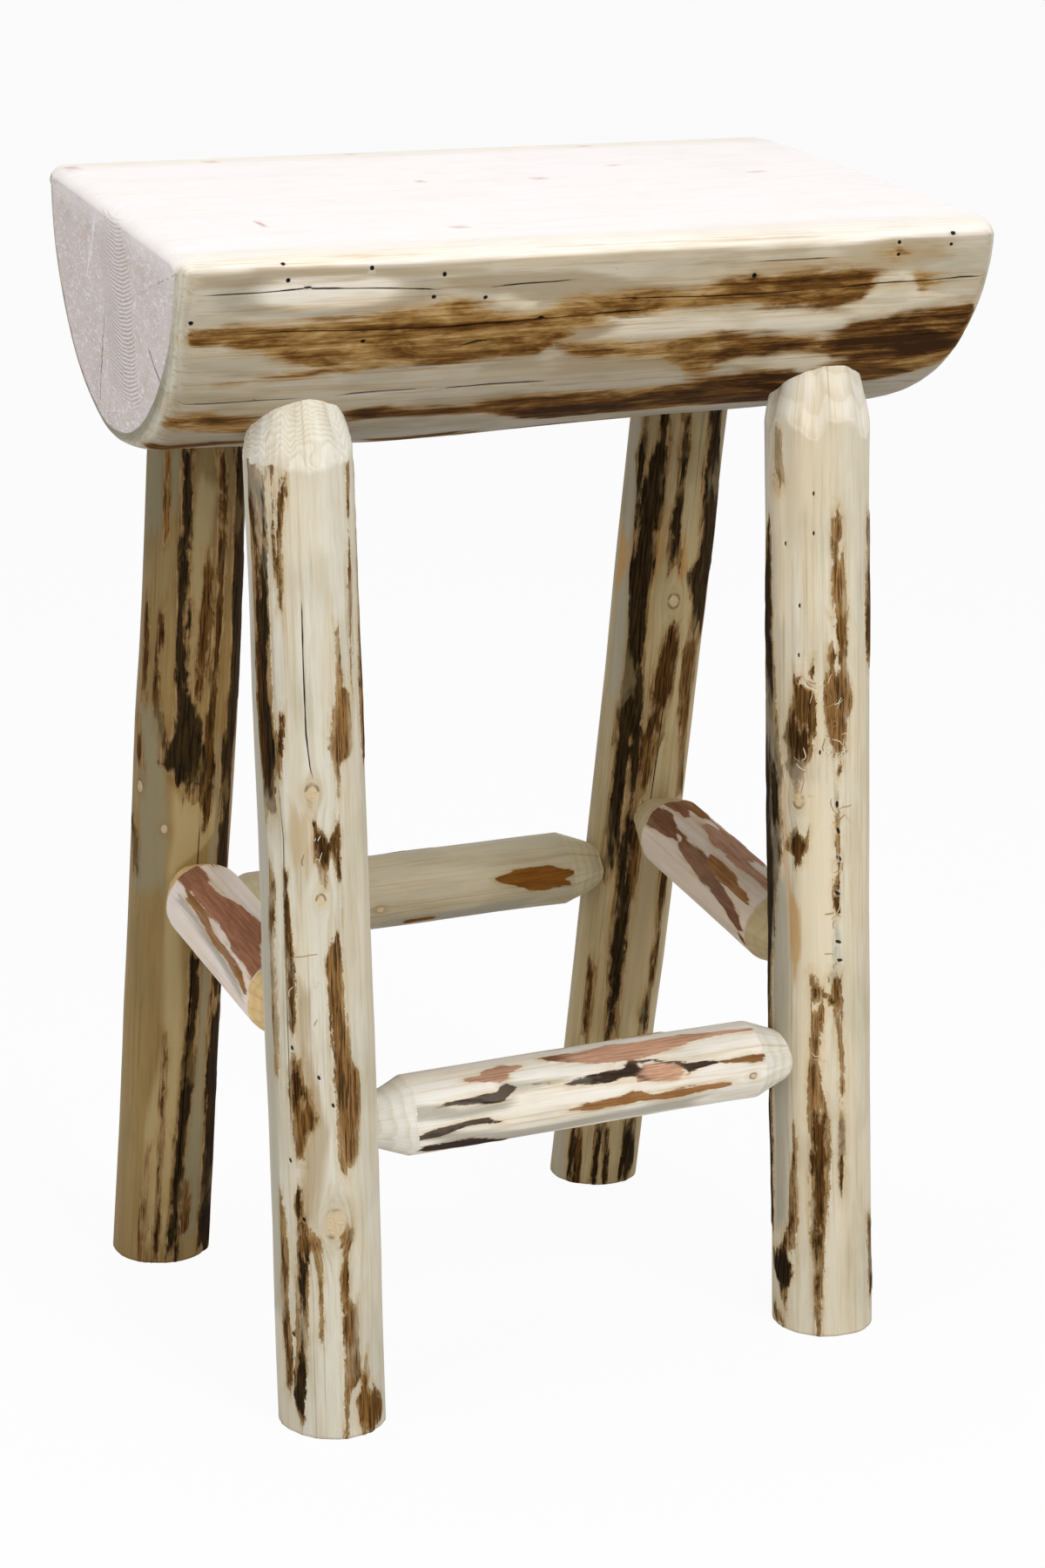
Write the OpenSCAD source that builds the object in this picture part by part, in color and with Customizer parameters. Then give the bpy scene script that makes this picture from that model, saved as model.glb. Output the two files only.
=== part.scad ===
// Bar stool made of peeled logs: a half log seat on four splayed legs,
// which four round stretchers brace near the floor.
// Every joint is a round tenon glued into a blind round mortise.

/* [Seat] */
// Height of the flat sitting face above the floor
seat_height = 762; // [560:2:860]
// Length of the half log along its middle, between its two sawn ends
seat_length = 532; // [480:2:620]
// Width of the flat face, which is the diameter of the split log
seat_width = 364; // [340:2:420]
// Depth of the half log, from the flat face to the lowest point of its round
seat_depth = 147; // [130:1:180]
// Fullness of the rounded underside, where 2 is an ellipse and less is slacker
seat_fullness = 1.85; // [1.7:0.05:2.4]
// How far the left end is sawn out of square to the log
left_end_skew = 5; // [0:0.5:6]
// How far the right end is sawn out of square to the log
right_end_skew = 2.5; // [0:0.5:6]
// Radius worn on the edges all round both sawn ends
end_rounding = 11; // [4:1:16]
// Radius worn on the two long edges of the flat face
edge_rounding = 9; // [4:1:14]

/* [Legs] */
// Distance along the log from the seat's left end to the middle of the left legs' tenons
leg_inset_left = 90; // [80:1:110]
// Distance along the log from the seat's right end to the middle of the right legs' tenons
leg_inset_right = 87; // [76:1:110]
// Distance from the seat's long edge to the middle of a leg's tenon
leg_inset_edge = 70; // [66:1:90]
// How far the two rows of tenons stand out of square to the log
leg_row_skew = 4; // [0:0.5:6]
// Diameter of the front left leg, at the floor
leg_fl_d = 69; // [60:1:76]
// Diameter of the front right leg, at the floor
leg_fr_d = 68; // [60:1:76]
// Diameter of the back left leg, at the floor
leg_bl_d = 66; // [60:1:76]
// Diameter of the back right leg, at the floor
leg_br_d = 63; // [60:1:76]
// Diameter of every leg just under its shaved shoulder
leg_top_d = 67.5; // [60:0.5:76]
// Height at which the shaved shoulder of every leg begins, below the seat's face
shoulder_drop = 136; // [130:1:160]

/* [Splay of the legs] */
// Front left foot, how far it stands to the left of its own tenon
splay_fl_x = -14; // [-30:1:30]
// Front left foot, how far it stands in front of its own tenon
splay_fl_y = 43; // [20:1:70]
// Front right foot, how far it stands to the right of its own tenon
splay_fr_x = 28; // [-30:1:30]
// Front right foot, how far it stands in front of its own tenon
splay_fr_y = 19; // [10:1:70]
// Back left foot, how far it stands to the left of its own tenon
splay_bl_x = 21; // [-30:1:30]
// Back left foot, how far it stands behind its own tenon
splay_bl_y = 27; // [20:1:70]
// Back right foot, how far it stands to the right of its own tenon
splay_br_x = -30; // [-34:1:30]
// Back right foot, how far it stands behind its own tenon
splay_br_y = 46; // [20:1:70]

/* [Stretchers] */
// Diameter of the front stretcher
front_rail_d = 52; // [44:1:56]
// Diameter of the back stretcher
back_rail_d = 52; // [44:1:56]
// Diameter of the left stretcher
left_rail_d = 55; // [44:1:56]
// Diameter of the right stretcher
right_rail_d = 51; // [44:1:56]
// Height of the front stretcher's middle line, at its left end
front_rail_z = 195; // [150:1:210]
// Height of the back stretcher's middle line, at its left end
back_rail_z = 246; // [200:1:260]
// How much higher the right ends of the front and back stretchers sit
rail_tilt = 1; // [0:1:8]
// How far the left stretcher's back end sits above the back stretcher
left_rise_back = 37; // [35:1:60]
// How far the left stretcher's front end sits above the front stretcher
left_rise_front = 64; // [40:1:90]
// How far the right stretcher's back end sits above the back stretcher
right_rise_back = 48; // [35:1:60]
// How far the right stretcher's front end sits above the front stretcher
right_rise_front = 60; // [40:1:90]

/* [Joints] */
// Diameter of the tenons on top of the legs
leg_tenon_d = 50; // [44:1:54]
// Height of the leg tenons' ends, below the seat's face
leg_tenon_drop = 62; // [50:1:90]
// Length of the shaved cone between a leg's round and its tenon
leg_cone = 38; // [16:1:44]
// Diameter of the tenons on the stretchers' ends
rail_tenon_d = 32; // [30:1:36]
// Distance from a stretcher tenon's end to the middle line of its leg
rail_tenon_stop = 9; // [9:0.5:16]
// Length of the shaved cone between a stretcher's round and its tenon
rail_cone = 26; // [14:1:40]
// Glue gap between every tenon and its mortise, all round and at the end
glue_gap = 0.25; // [0.2:0.05:0.4]

/* [Hidden] */
$fn = 96;
// Height of the middle of the leg tenons, where the insets are measured
tenon_z = seat_height - shoulder_drop + 20;
half_l = seat_length / 2;
half_w = seat_width / 2;
tenon_y = half_w - leg_inset_edge;
// The ends' skews differ, so the log's middle stands off by this, and the stool's box stays centred
middle_x = (half_w - end_rounding) * (tan(left_end_skew) - tan(right_end_skew)) / 2;
skew_x = tenon_y * tan(leg_row_skew);
left_x = middle_x - half_l + leg_inset_left;
right_x = middle_x + half_l - leg_inset_right;
top_fl = [left_x - skew_x, -tenon_y, tenon_z];
top_fr = [right_x - skew_x, -tenon_y, tenon_z];
top_bl = [left_x + skew_x, tenon_y, tenon_z];
top_br = [right_x + skew_x, tenon_y, tenon_z];
// Point of each leg's middle line on the floor, then at the tenon
leg_fl = [[top_fl[0] - splay_fl_x, -tenon_y - splay_fl_y, 0], top_fl];
leg_fr = [[top_fr[0] + splay_fr_x, -tenon_y - splay_fr_y, 0], top_fr];
leg_bl = [[top_bl[0] - splay_bl_x, tenon_y + splay_bl_y, 0], top_bl];
leg_br = [[top_br[0] + splay_br_x, tenon_y + splay_br_y, 0], top_br];

function at_height(leg, z) = leg[0] + (leg[1] - leg[0]) * z / tenon_z;
// Length along a leaning leg that stands for a height of z
function along(leg, z) = z * norm(leg[1] - leg[0]) / tenon_z;
function length_of(line) = norm(line[1] - line[0]);
// Diameter of a leg at a distance from its foot
function leg_d_at(leg, foot_d, s) =
    foot_d + (leg_top_d - foot_d) * s / along(leg, seat_height - shoulder_drop);

// Puts the children, drawn up the Z axis from the origin, on a line between two points
module on_line(line) {
    v = line[1] - line[0];
    turn = atan2(v[1], v[0]);
    tip = acos(v[2] / norm(v));
    translate(line[0]) rotate([0, 0, turn]) rotate([0, tip, 0]) rotate([0, 0, -turn]) children();
}

// Cross-section of the half log, as points from one long edge of the flat face,
// round the underside to the other: a superellipse, spread by the edges' radius
function half_round_core(a) =
    let (k = 2 / seat_fullness)
    [sign(cos(a)) * pow(abs(cos(a)), k) * (half_w - edge_rounding),
     -edge_rounding - pow(sin(a), k) * (seat_depth - 2 * edge_rounding)];
function half_round() =
    let (steps = 44, turns = 5)
    concat(
        [for (i = [0:turns - 1]) corner_point(1, 90 - 90 * i / turns)],
        [for (i = [0:steps])
            let (a = 180 * i / steps,
                 p = half_round_core(a),
                 q = half_round_core(min(a + 0.5, 180)) - half_round_core(max(a - 0.5, 0)),
                 n = i == 0 ? [1, 0] : i == steps ? [-1, 0] : [-q[1], q[0]] / norm(q))
            p + edge_rounding * n],
        [for (i = [turns - 1:-1:0]) corner_point(-1, 90 - 90 * i / turns)]
    );
function corner_point(side, a) =
    [side * (half_w - edge_rounding + edge_rounding * cos(a)), -edge_rounding + edge_rounding * sin(a)];

// One ring of the half log: its cross-section made smaller by an inset, at a place along the log
function ring(x, inset, skew) =
    [for (p = half_round())
        let (y = p[0] * (half_w - inset) / half_w,
             z = -inset + p[1] * (seat_depth - 2 * inset) / seat_depth)
        [middle_x + x + y * tan(skew), y, seat_height + z]];

// The half log without its mortises: rings joined from end to end, the ends worn round
module seat_blank() {
    steps = 4;
    left = [for (i = [steps:-1:0])
        let (a = 90 * i / steps)
        ring(-half_l + end_rounding * (1 - sin(a)), end_rounding * (1 - cos(a)), left_end_skew)];
    right = [for (i = [0:steps])
        let (a = 90 * i / steps)
        ring(half_l - end_rounding * (1 - sin(a)), end_rounding * (1 - cos(a)), right_end_skew)];
    rings = concat(left, right);
    n = len(rings[0]);
    last = len(rings) - 1;
    polyhedron(
        points = [for (r = rings) each r],
        faces = concat(
            [[for (i = [0:n - 1]) i]],
            [for (k = [0:last - 1], i = [0:n - 1])
                let (j = (i + 1) % n)
                [k * n + i, (k + 1) * n + i, (k + 1) * n + j]],
            [for (k = [0:last - 1], i = [0:n - 1])
                let (j = (i + 1) % n)
                [k * n + i, (k + 1) * n + j, k * n + j]],
            [[for (i = [n - 1:-1:0]) last * n + i]]
        )
    );
}

// Mortise of a leg: its shaved top as a solid of revolution, grown by the glue gap,
// with a mouth that lets the leg's full round in where the seat comes down past it
module leg_mortise(leg) {
    base = along(leg, seat_height - shoulder_drop);
    tip = along(leg, seat_height - leg_tenon_drop) + glue_gap;
    r = leg_top_d / 2 + glue_gap;
    t = leg_tenon_d / 2 + glue_gap;
    rotate_extrude()
        polygon([[0, base - 70], [r, base - 70], [r, base], [t, base + leg_cone], [t, tip], [0, tip]]);
}

// A leg: round log cut level at the floor, shaved shoulder and tenon at the top
module leg(leg, foot_d, mortises) {
    base = along(leg, seat_height - shoulder_drop);
    tip = along(leg, seat_height - leg_tenon_drop);
    low = 40;
    difference() {
        on_line(leg)
            rotate_extrude()
                polygon([
                    [0, -low],
                    [leg_d_at(leg, foot_d, -low) / 2, -low],
                    [leg_top_d / 2, base],
                    [leg_tenon_d / 2, base + leg_cone],
                    [leg_tenon_d / 2, tip],
                    [0, tip]
                ]);
        // the floor
        translate([leg[0][0] - 100, leg[0][1] - 100, -100]) cube([200, 200, 100]);
        // blind mortises of the two stretchers that this leg holds
        for (m = mortises)
            on_line(m)
                translate([0, 0, rail_tenon_stop - glue_gap])
                    cylinder(d = rail_tenon_d + 2 * glue_gap, h = leg_top_d);
    }
}

// A stretcher: round log with shaved cones and tenons, between two leg middle lines
module stretcher(line, d) {
    len = length_of(line);
    // the tenons' free ends, the cones' small ends and the cones' big ends
    a = rail_tenon_stop;
    b = leg_top_d / 2 - 3;
    c = b + rail_cone;
    on_line(line)
        rotate_extrude()
            polygon([
                [0, a], [rail_tenon_d / 2, a], [rail_tenon_d / 2, b], [d / 2, c],
                [d / 2, len - c], [rail_tenon_d / 2, len - b], [rail_tenon_d / 2, len - a], [0, len - a]
            ]);
}

front_line = [at_height(leg_fl, front_rail_z), at_height(leg_fr, front_rail_z + rail_tilt)];
back_line = [at_height(leg_bl, back_rail_z), at_height(leg_br, back_rail_z + rail_tilt)];
left_line = [
    at_height(leg_bl, back_rail_z + left_rise_back),
    at_height(leg_fl, front_rail_z + left_rise_front)
];
right_line = [
    at_height(leg_br, back_rail_z + right_rise_back),
    at_height(leg_fr, front_rail_z + right_rise_front)
];
function reversed(line) = [line[1], line[0]];

module seat_half_log() {
    color("#d9c7ae")
        difference() {
            seat_blank();
            for (leg = [leg_fl, leg_fr, leg_bl, leg_br])
                on_line(leg) leg_mortise(leg);
        }
}

module leg_front_left() {
    color("#d8bd92") leg(leg_fl, leg_fl_d, [front_line, reversed(left_line)]);
}

module leg_front_right() {
    color("#d6bb90") leg(leg_fr, leg_fr_d, [reversed(front_line), reversed(right_line)]);
}

module leg_back_left() {
    color("#c9a877") leg(leg_bl, leg_bl_d, [back_line, left_line]);
}

module leg_back_right() {
    color("#c6a271") leg(leg_br, leg_br_d, [reversed(back_line), right_line]);
}

module stretcher_front() {
    color("#dcc0a2") stretcher(front_line, front_rail_d);
}

module stretcher_back() {
    color("#c9b795") stretcher(back_line, back_rail_d);
}

module stretcher_left() {
    color("#c4a27c") stretcher(left_line, left_rail_d);
}

module stretcher_right() {
    color("#c29a70") stretcher(right_line, right_rail_d);
}

seat_half_log();
leg_front_left();
leg_front_right();
leg_back_left();
leg_back_right();
stretcher_front();
stretcher_back();
stretcher_left();
stretcher_right();
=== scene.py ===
"""Half log bar stool: peeled logs in mesh code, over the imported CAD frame. Lengths are in millimetres until mesh()."""

import bmesh
import bpy
import math
import numpy as np
from mathutils import Matrix


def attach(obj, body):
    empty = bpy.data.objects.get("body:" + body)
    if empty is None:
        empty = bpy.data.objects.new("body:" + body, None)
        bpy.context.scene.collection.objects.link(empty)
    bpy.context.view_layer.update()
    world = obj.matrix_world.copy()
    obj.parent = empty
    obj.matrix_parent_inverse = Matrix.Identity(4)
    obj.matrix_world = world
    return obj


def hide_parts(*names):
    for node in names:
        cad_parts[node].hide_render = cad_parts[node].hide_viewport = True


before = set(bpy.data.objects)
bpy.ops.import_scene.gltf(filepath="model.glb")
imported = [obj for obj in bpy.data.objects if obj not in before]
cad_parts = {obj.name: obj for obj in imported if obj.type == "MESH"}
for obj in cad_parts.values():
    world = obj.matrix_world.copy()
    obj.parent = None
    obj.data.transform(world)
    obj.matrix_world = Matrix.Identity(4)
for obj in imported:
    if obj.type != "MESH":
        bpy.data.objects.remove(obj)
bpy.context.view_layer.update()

# The camera and the sizes of part.scad
EYE = (-1002.21, -2339.21, 1168.09)
YAW, PITCH, ROLL, LENS = 0.4138193, 0.3055583, 0.0255684, 91.541
TOP, HALF_L, HALF_W, DEPTH, FULL, MIDDLE_X = 762.0, 266.0, 182.0, 147.0, 1.85, 3.747
SKEWS = [math.tan(math.radians(q)) for q in (5, 2.5)]
TENON_Z, SHOULDER_Z, TIP_Z, LEG_TOP_R = 646.0, 626.0, 699.5, 33.75
LEGS = {
    "leg_front_left": ((-166.085, -155, 0), (-180.085, -112, 646), 34.5),
    "leg_front_right": ((202.915, -131, 0), (174.915, -112, 646), 34.0),
    "leg_back_left": ((-185.421, 139, 0), (-164.421, 112, 646), 33.0),
    "leg_back_right": ((160.579, 158, 0), (190.579, 112, 646), 31.5),
}
RAILS = {
    "stretcher_front": ("leg_front_left", 195, "leg_front_right", 196, 26.0),
    "stretcher_back": ("leg_back_left", 246, "leg_back_right", 247, 26.0),
    "stretcher_left": ("leg_back_left", 283, "leg_front_left", 259, 27.5),
    "stretcher_right": ("leg_back_right", 294, "leg_front_right", 255, 25.5),
}
# Strips of inner bark and stains: a tone, then places along the log in mm, each with where the strip starts and
# ends round the log, in degrees on a round log and in mm from the front top edge on the seat
# The grey g strips down the legs' left sides are painted shade, for the side of each leg turned away from the light
STRIPS = {
    "leg_front_left": """
d 634 -176 -160 600 -177 -158 560 -175 -156 520 -174 -158 480 -175 -154 440 -172 -150 410 -168 -152
k 405 -168 -165 415 -167 -158 424 -170 -155 443 -169 -145 460 -167 -145 482 -168 -150 525 -168 -150 569 -159 -150 590
-159 -147 603 -164 -148 624 -163 -145
b 537 -136 -135 553 -136 -131 569 -138 -131 591 -136 -129 612 -133 -124 621 -129 -125
d 564 -140 -138 625 -140 -137
b 485 -60 -57 587 -53 -50 623 -53 -46
d 435 -40 -29 448 -40 -21 498 -40 -21 558 -35 -21 584 -21 -21 623 -21 -21
r 424 -80 -79 438 -84 -77 443 -85 -71 447 -89 -64 451 -91 -61 465 -89 -60 484 -82 -62 489 -80 -72 525 -77 -75
b 473 -79 -70 481 -80 -70 489 -79 -75
d 440 -147 -144 450 -147 -140 461 -142 -138 473 -141 -137
d 372 -105 -99 381 -109 -94 390 -109 -93 395 -108 -95 405 -108 -105
b 365 -85 -83 372 -87 -82 389 -96 -81 396 -92 -80 403 -83 -81
o 382 -112 -109 390 -114 -109 398 -111 -109
r 176 -90 -83 182 -92 -76 190 -93 -71 202 -93 -69 233 -95 -64 241 -95 -66 248 -94 -76 259 -96 -79 294 -97 -82 316 -99
-83 338 -87 -84
d 316 -96 -87 323 -94 -85
k 183 -89 -86 199 -90 -85
d 270 -140 -137 277 -143 -135 289 -143 -134 300 -145 -134 331 -143 -135 371 -143 -139
d 222 -144 -121 238 -146 -126 246 -145 -129 254 -140 -130
b 191 -138 -133 203 -142 -127 209 -142 -118 215 -142 -116 225 -143 -121
b 241 -165 -162 269 -164 -159 314 -167 -161 343 -167 -159 365 -165 -159 379 -165 -163
d 139 -142 -127 145 -142 -132 154 -144 -135 163 -143 -136
b 121 -142 -115 128 -143 -114 135 -141 -118 141 -142 -128
k -1 -145 -143 10 -145 -141 26 -154 -139 42 -152 -136 51 -148 -135 63 -146 -133 75 -146 -135 122 -143 -128
b 66 -119 -117 82 -120 -116 100 -120 -118 124 -124 -115
b 29 -166 -159 40 -164 -154 49 -164 -153 61 -165 -156 96 -168 -157 113 -167 -155 131 -167 -155 148 -167 -159 161 -167
-164
b 83 -95 -81 93 -95 -89 122 -94 -89 138 -96 -80
r 1 -97 -95 22 -95 -92 31 -96 -90 35 -95 -79 40 -96 -76 57 -96 -80 80 -96 -80 89 -86 -80
b -2 -77 -63 5 -77 -47 10 -80 -41 17 -81 -43 25 -82 -60 31 -76 -69 39 -74 -66 50 -70 -68
b 20 -62 -45 28 -57 -50
t 181 -78 -72 188 -77 -69
t 146 -132 -122 163 -135 -116 204 -127 -103 261 -133 -123 300 -132 -117
t 379 -133 -118 395 -136 -115 415 -134 -110
g 80 -193 -169 180 -189 -166 284 -190 -165 379 -199 -166 479 -194 -166 567 -180 -159
""",
    "leg_front_right": """
b 591 -159 -157 605 -169 -159 622 -168 -160
k 73 -207 -187 137 -207 -187 201 -199 -181 231 -204 -182 262 -207 -181 311 -206 -172 336 -206 -162 355 -207 -160 384
-207 -161 396 -207 -159 415 -201 -163 444 -197 -168 467 -201 -172 537 -194 -180 566 -191 -181
r 552 -99 -95 557 -99 -90 570 -100 -90 574 -99 -93 579 -95 -92
r 506 -99 -85 527 -101 -87 542 -97 -88
b 488 -94 -84 493 -96 -84 499 -101 -84 504 -103 -83
b 473 -104 -94 477 -105 -85 484 -105 -83
r 415 -100 -85 419 -102 -87 425 -104 -85 434 -108 -85 442 -111 -80 451 -112 -78 463 -109 -82 470 -106 -86
d 440 -99 -90 461 -99 -91
d 408 -96 -84 416 -98 -84
d 397 -96 -92 400 -99 -89 405 -98 -89
b 430 -153 -120 440 -148 -119 455 -144 -120 460 -145 -138 465 -143 -137
d 388 -142 -139 393 -145 -136 398 -152 -133 404 -157 -132 410 -154 -125 416 -154 -122 422 -159 -122 433 -151 -120
b 465 -130 -122 471 -127 -121
d 342 -142 -136 345 -156 -133 349 -158 -130 354 -153 -129
o 250 -147 -144 266 -150 -141 272 -152 -136 281 -154 -134 305 -156 -137 317 -157 -148 329 -158 -152 385 -158 -156
g 381 -97 -91 387 -97 -93
d 370 -96 -90 375 -96 -91
d 357 -97 -92 363 -97 -92
d 336 -99 -93 340 -100 -91 345 -96 -92
d 306 -98 -94 322 -101 -94 328 -99 -94
g 279 -101 -95 283 -102 -93 289 -99 -93
g 259 -115 -93 264 -101 -93 270 -97 -93
d 238 -127 -109 241 -127 -97 249 -128 -111 258 -129 -113
r 163 -130 -109 185 -129 -116 209 -127 -116 240 -128 -110
d 0 -124 -119 40 -128 -115 53 -127 -114 122 -131 -107 135 -129 -106 166 -129 -109
b 171 -94 -90 180 -95 -88 190 -94 -89 249 -103 -93 259 -101 -93
d 99 -95 -93 108 -95 -92 115 -98 -91 156 -97 -87 165 -95 -90 174 -94 -90
d 58 -169 -149 69 -164 -149 82 -159 -146 101 -155 -146 117 -154 -147 133 -151 -144 155 -151 -147
k 21 -168 -164 32 -173 -159 41 -189 -151 50 -192 -151 58 -191 -160
d 465 -45 -28 500 -50 -28 529 -47 -28 566 -46 -28
d 22 -48 -28 49 -50 -34 77 -50 -32
k -1 -176 -167 4 -185 -167 11 -190 -173
y 505 -168 -152 540 -170 -150 586 -174 -150
y 150 -141 -112 270 -141 -104 330 -138 -99 390 -132 -108
y 564 -154 -140 587 -153 -124 621 -149 -115
g 79 -182 -162 174 -180 -154 267 -179 -152 326 -193 -155
""",
    "leg_back_left": """
k 390 -123 -92 406 -123 -96 421 -122 -107 433 -122 -110 458 -122 -111 482 -124 -111 518 -124 -114 542 -124 -114 594
-127 -113
b 527 -144 -141 563 -147 -140 590 -147 -141
d 356 -88 -77 371 -94 -74 390 -87 -78 421 -83 -73 445 -83 -71 481 -83 -71 553 -79 -69 577 -83 -72 593 -87 -82
k 193 -61 -26 226 -60 -30 251 -58 -20 291 -60 -35 329 -58 -36 367 -63 -39 415 -56 -24 446 -54 -20 507 -56 -20 538 -56
-32 562 -55 -37 591 -60 -41
d 420 -101 -95 434 -100 -90 488 -96 -85 500 -93 -85 518 -93 -88
d 413 -174 -164 427 -173 -162 451 -173 -163 469 -175 -165 482 -173 -167
d 380 -135 -129 389 -140 -132 406 -146 -138 424 -152 -142 443 -151 -143 455 -149 -141 480 -147 -143
k 359 -121 -75 365 -128 -73 370 -136 -72 377 -133 -77 390 -125 -91 403 -123 -92 414 -119 -109
d 344 -105 -98 353 -107 -74 362 -109 -75
d 323 -82 -80 334 -84 -77 359 -88 -75
k 2 -102 -88 69 -98 -87 95 -98 -85 135 -94 -80 181 -94 -80 206 -92 -78 239 -92 -79
k 1 -57 -20 93 -58 -20 161 -60 -30 193 -61 -26
d 2 -116 -113 135 -117 -114 178 -118 -116
b 30 -133 -128 84 -132 -130
b 3 -133 -131 27 -133 -130
b 27 -84 -79 44 -83 -75 61 -82 -79
d 361 -167 -161 365 -171 -160 383 -179 -168 394 -182 -173
d 289 -172 -166 310 -177 -168 324 -189 -177
n 530 -184 -147 549 -182 -131 585 -177 -128
n 279 -172 -126 319 -161 -124 355 -166 -131 404 -177 -137
m 409 -111 -99 446 -109 -97 518 -113 -93 566 -110 -84
m 14 -133 -103 101 -137 -98 168 -118 -95 258 -124 -106 296 -123 -112 321 -118 -64 345 -120 -60
n 19 -85 -58 99 -82 -58 231 -76 -61 319 -71 -57 382 -75 -61
""",
    "leg_back_right": """
k 454 -155 -151 537 -159 -155 555 -167 -154 574 -158 -156 594 -163 -159
k 351 -156 -125 371 -155 -124 398 -150 -127 424 -150 -130 449 -153 -131 463 -150 -131 482 -150 -129 501 -153 -129 514
-155 -126 533 -154 -124 545 -151 -126 572 -137 -125 598 -136 -130
d 567 -108 -106 601 -113 -111
k 480 -108 -98 491 -110 -98 523 -110 -102 555 -109 -101 567 -112 -101 580 -110 -103 593 -111 -105
k 427 -70 -47 437 -71 -43 450 -70 -45 463 -77 -46 473 -84 -42 479 -82 -38 488 -72 -37 497 -72 -28 513 -73 -28 527 -74
-39 579 -77 -58 603 -79 -61
b 306 -57 -43 318 -60 -47 372 -71 -57 399 -74 -54 419 -75 -56 431 -71 -49
o 479 -98 -84 488 -99 -88 498 -95 -92
d 351 -116 -96 375 -111 -94 388 -113 -90 401 -110 -91 411 -106 -89 420 -107 -88 430 -104 -89 440 -98 -91
b 307 -118 -111 341 -117 -100 355 -115 -95
k 247 -154 -138 264 -154 -135 291 -155 -135 318 -152 -134 331 -153 -134 345 -154 -127 358 -154 -126
k 121 -121 -112 151 -124 -111 178 -129 -110 226 -131 -112 253 -133 -115 307 -129 -117 363 -133 -122
b 227 -112 -108 281 -116 -109 301 -118 -111
d 115 -153 -147 146 -153 -145 177 -157 -146
d 122 -113 -108 148 -116 -111
k 120 -77 -61 142 -79 -63 157 -74 -64
d 155 -69 -60 218 -69 -59 252 -70 -62
k -1 -152 -145 26 -154 -146 51 -155 -149
d -2 -140 -136 52 -147 -144
k 8 -117 -114 56 -121 -116
k 0 -104 -99 56 -110 -106
k 0 -81 -63 14 -80 -57 28 -79 -58 58 -82 -64
o 457 -186 -165 476 -189 -158 502 -190 -161
o 474 -132 -124 490 -127 -120 515 -131 -123
g 380 -178 -152 534 -182 -162 590 -186 -163
g -4 -180 -157 39 -206 -162
d 225 -72 -64 265 -71 -56
t 151 -111 -78 213 -112 -79 267 -117 -85
""",
    "stretcher_front": """
d 157 11 19 165 12 25 173 14 28
r 168 12 26 175 13 32 187 9 38 200 4 42 224 12 40 248 9 32 259 7 25 285 11 22 302 13 23
k 134 50 53 165 56 64 178 52 66 194 50 67 203 50 65 210 43 67 219 44 74
r 216 46 73 238 53 77 247 57 75
k 211 41 47 230 46 51 242 51 58 251 57 73 269 61 65
b 163 97 102 173 94 103 186 93 105 199 91 104 208 85 103 214 86 101 224 96 104 237 96 106 250 93 106 263 94 103 284 96
101
r 93 28 31 104 26 35 110 17 40 116 14 45 123 11 40 129 18 30
k 77 59 62 96 55 67 113 54 70 117 44 69 121 42 64 127 51 57
k 59 94 109 68 94 108 86 90 101 95 90 99 104 90 100 119 100 104
k 56 123 134 71 121 141 83 121 143 93 120 155 103 124 155 122 142 155
g 50 54 78 68 59 81 86 70 85 117 68 83
g 119 40 61 143 49 61 162 50 57
b 282 63 67 298 61 71 302 63 70
g 71 100 155 134 122 155 195 115 135 260 116 137
""",
    "stretcher_back": """
b 237 69 82 247 62 90 260 61 99 274 63 101 287 71 98
d 253 81 94 273 84 98 287 90 96
b 169 130 141 182 130 139
g 150 120 159 203 122 159 258 116 159
g 179 72 77 199 72 80
""",
    "stretcher_left": """
r 51 12 48 68 11 45 83 16 43
r 71 17 41 108 16 45 130 0 46 157 -5 50 188 20 55 212 45 60
d 128 11 27 160 8 34 190 27 45
b 37 -35 -8 56 -18 -6
b 79 48 59 111 48 62 142 60 72 168 59 73 193 66 80 207 78 91
g 74 59 69 136 64 78 202 84 100
""",
    "stretcher_right": """
d 52 30 66 73 26 62 87 37 58 99 39 57
d 97 38 59 113 40 68 130 40 74 145 46 76
d 139 46 74 153 52 76 177 65 86 196 74 101 202 91 118
b 137 34 53 149 31 56 167 32 55 189 41 56 199 47 56
d 50 6 30 60 -11 23 75 -2 16
b 52 -30 3 69 -40 -1 90 -22 -4
r 104 -26 7 124 -40 22 143 -40 21
r 140 -9 25 160 0 24 177 1 20 201 0 22
r 122 -39 -34 160 -40 3
""",
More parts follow.
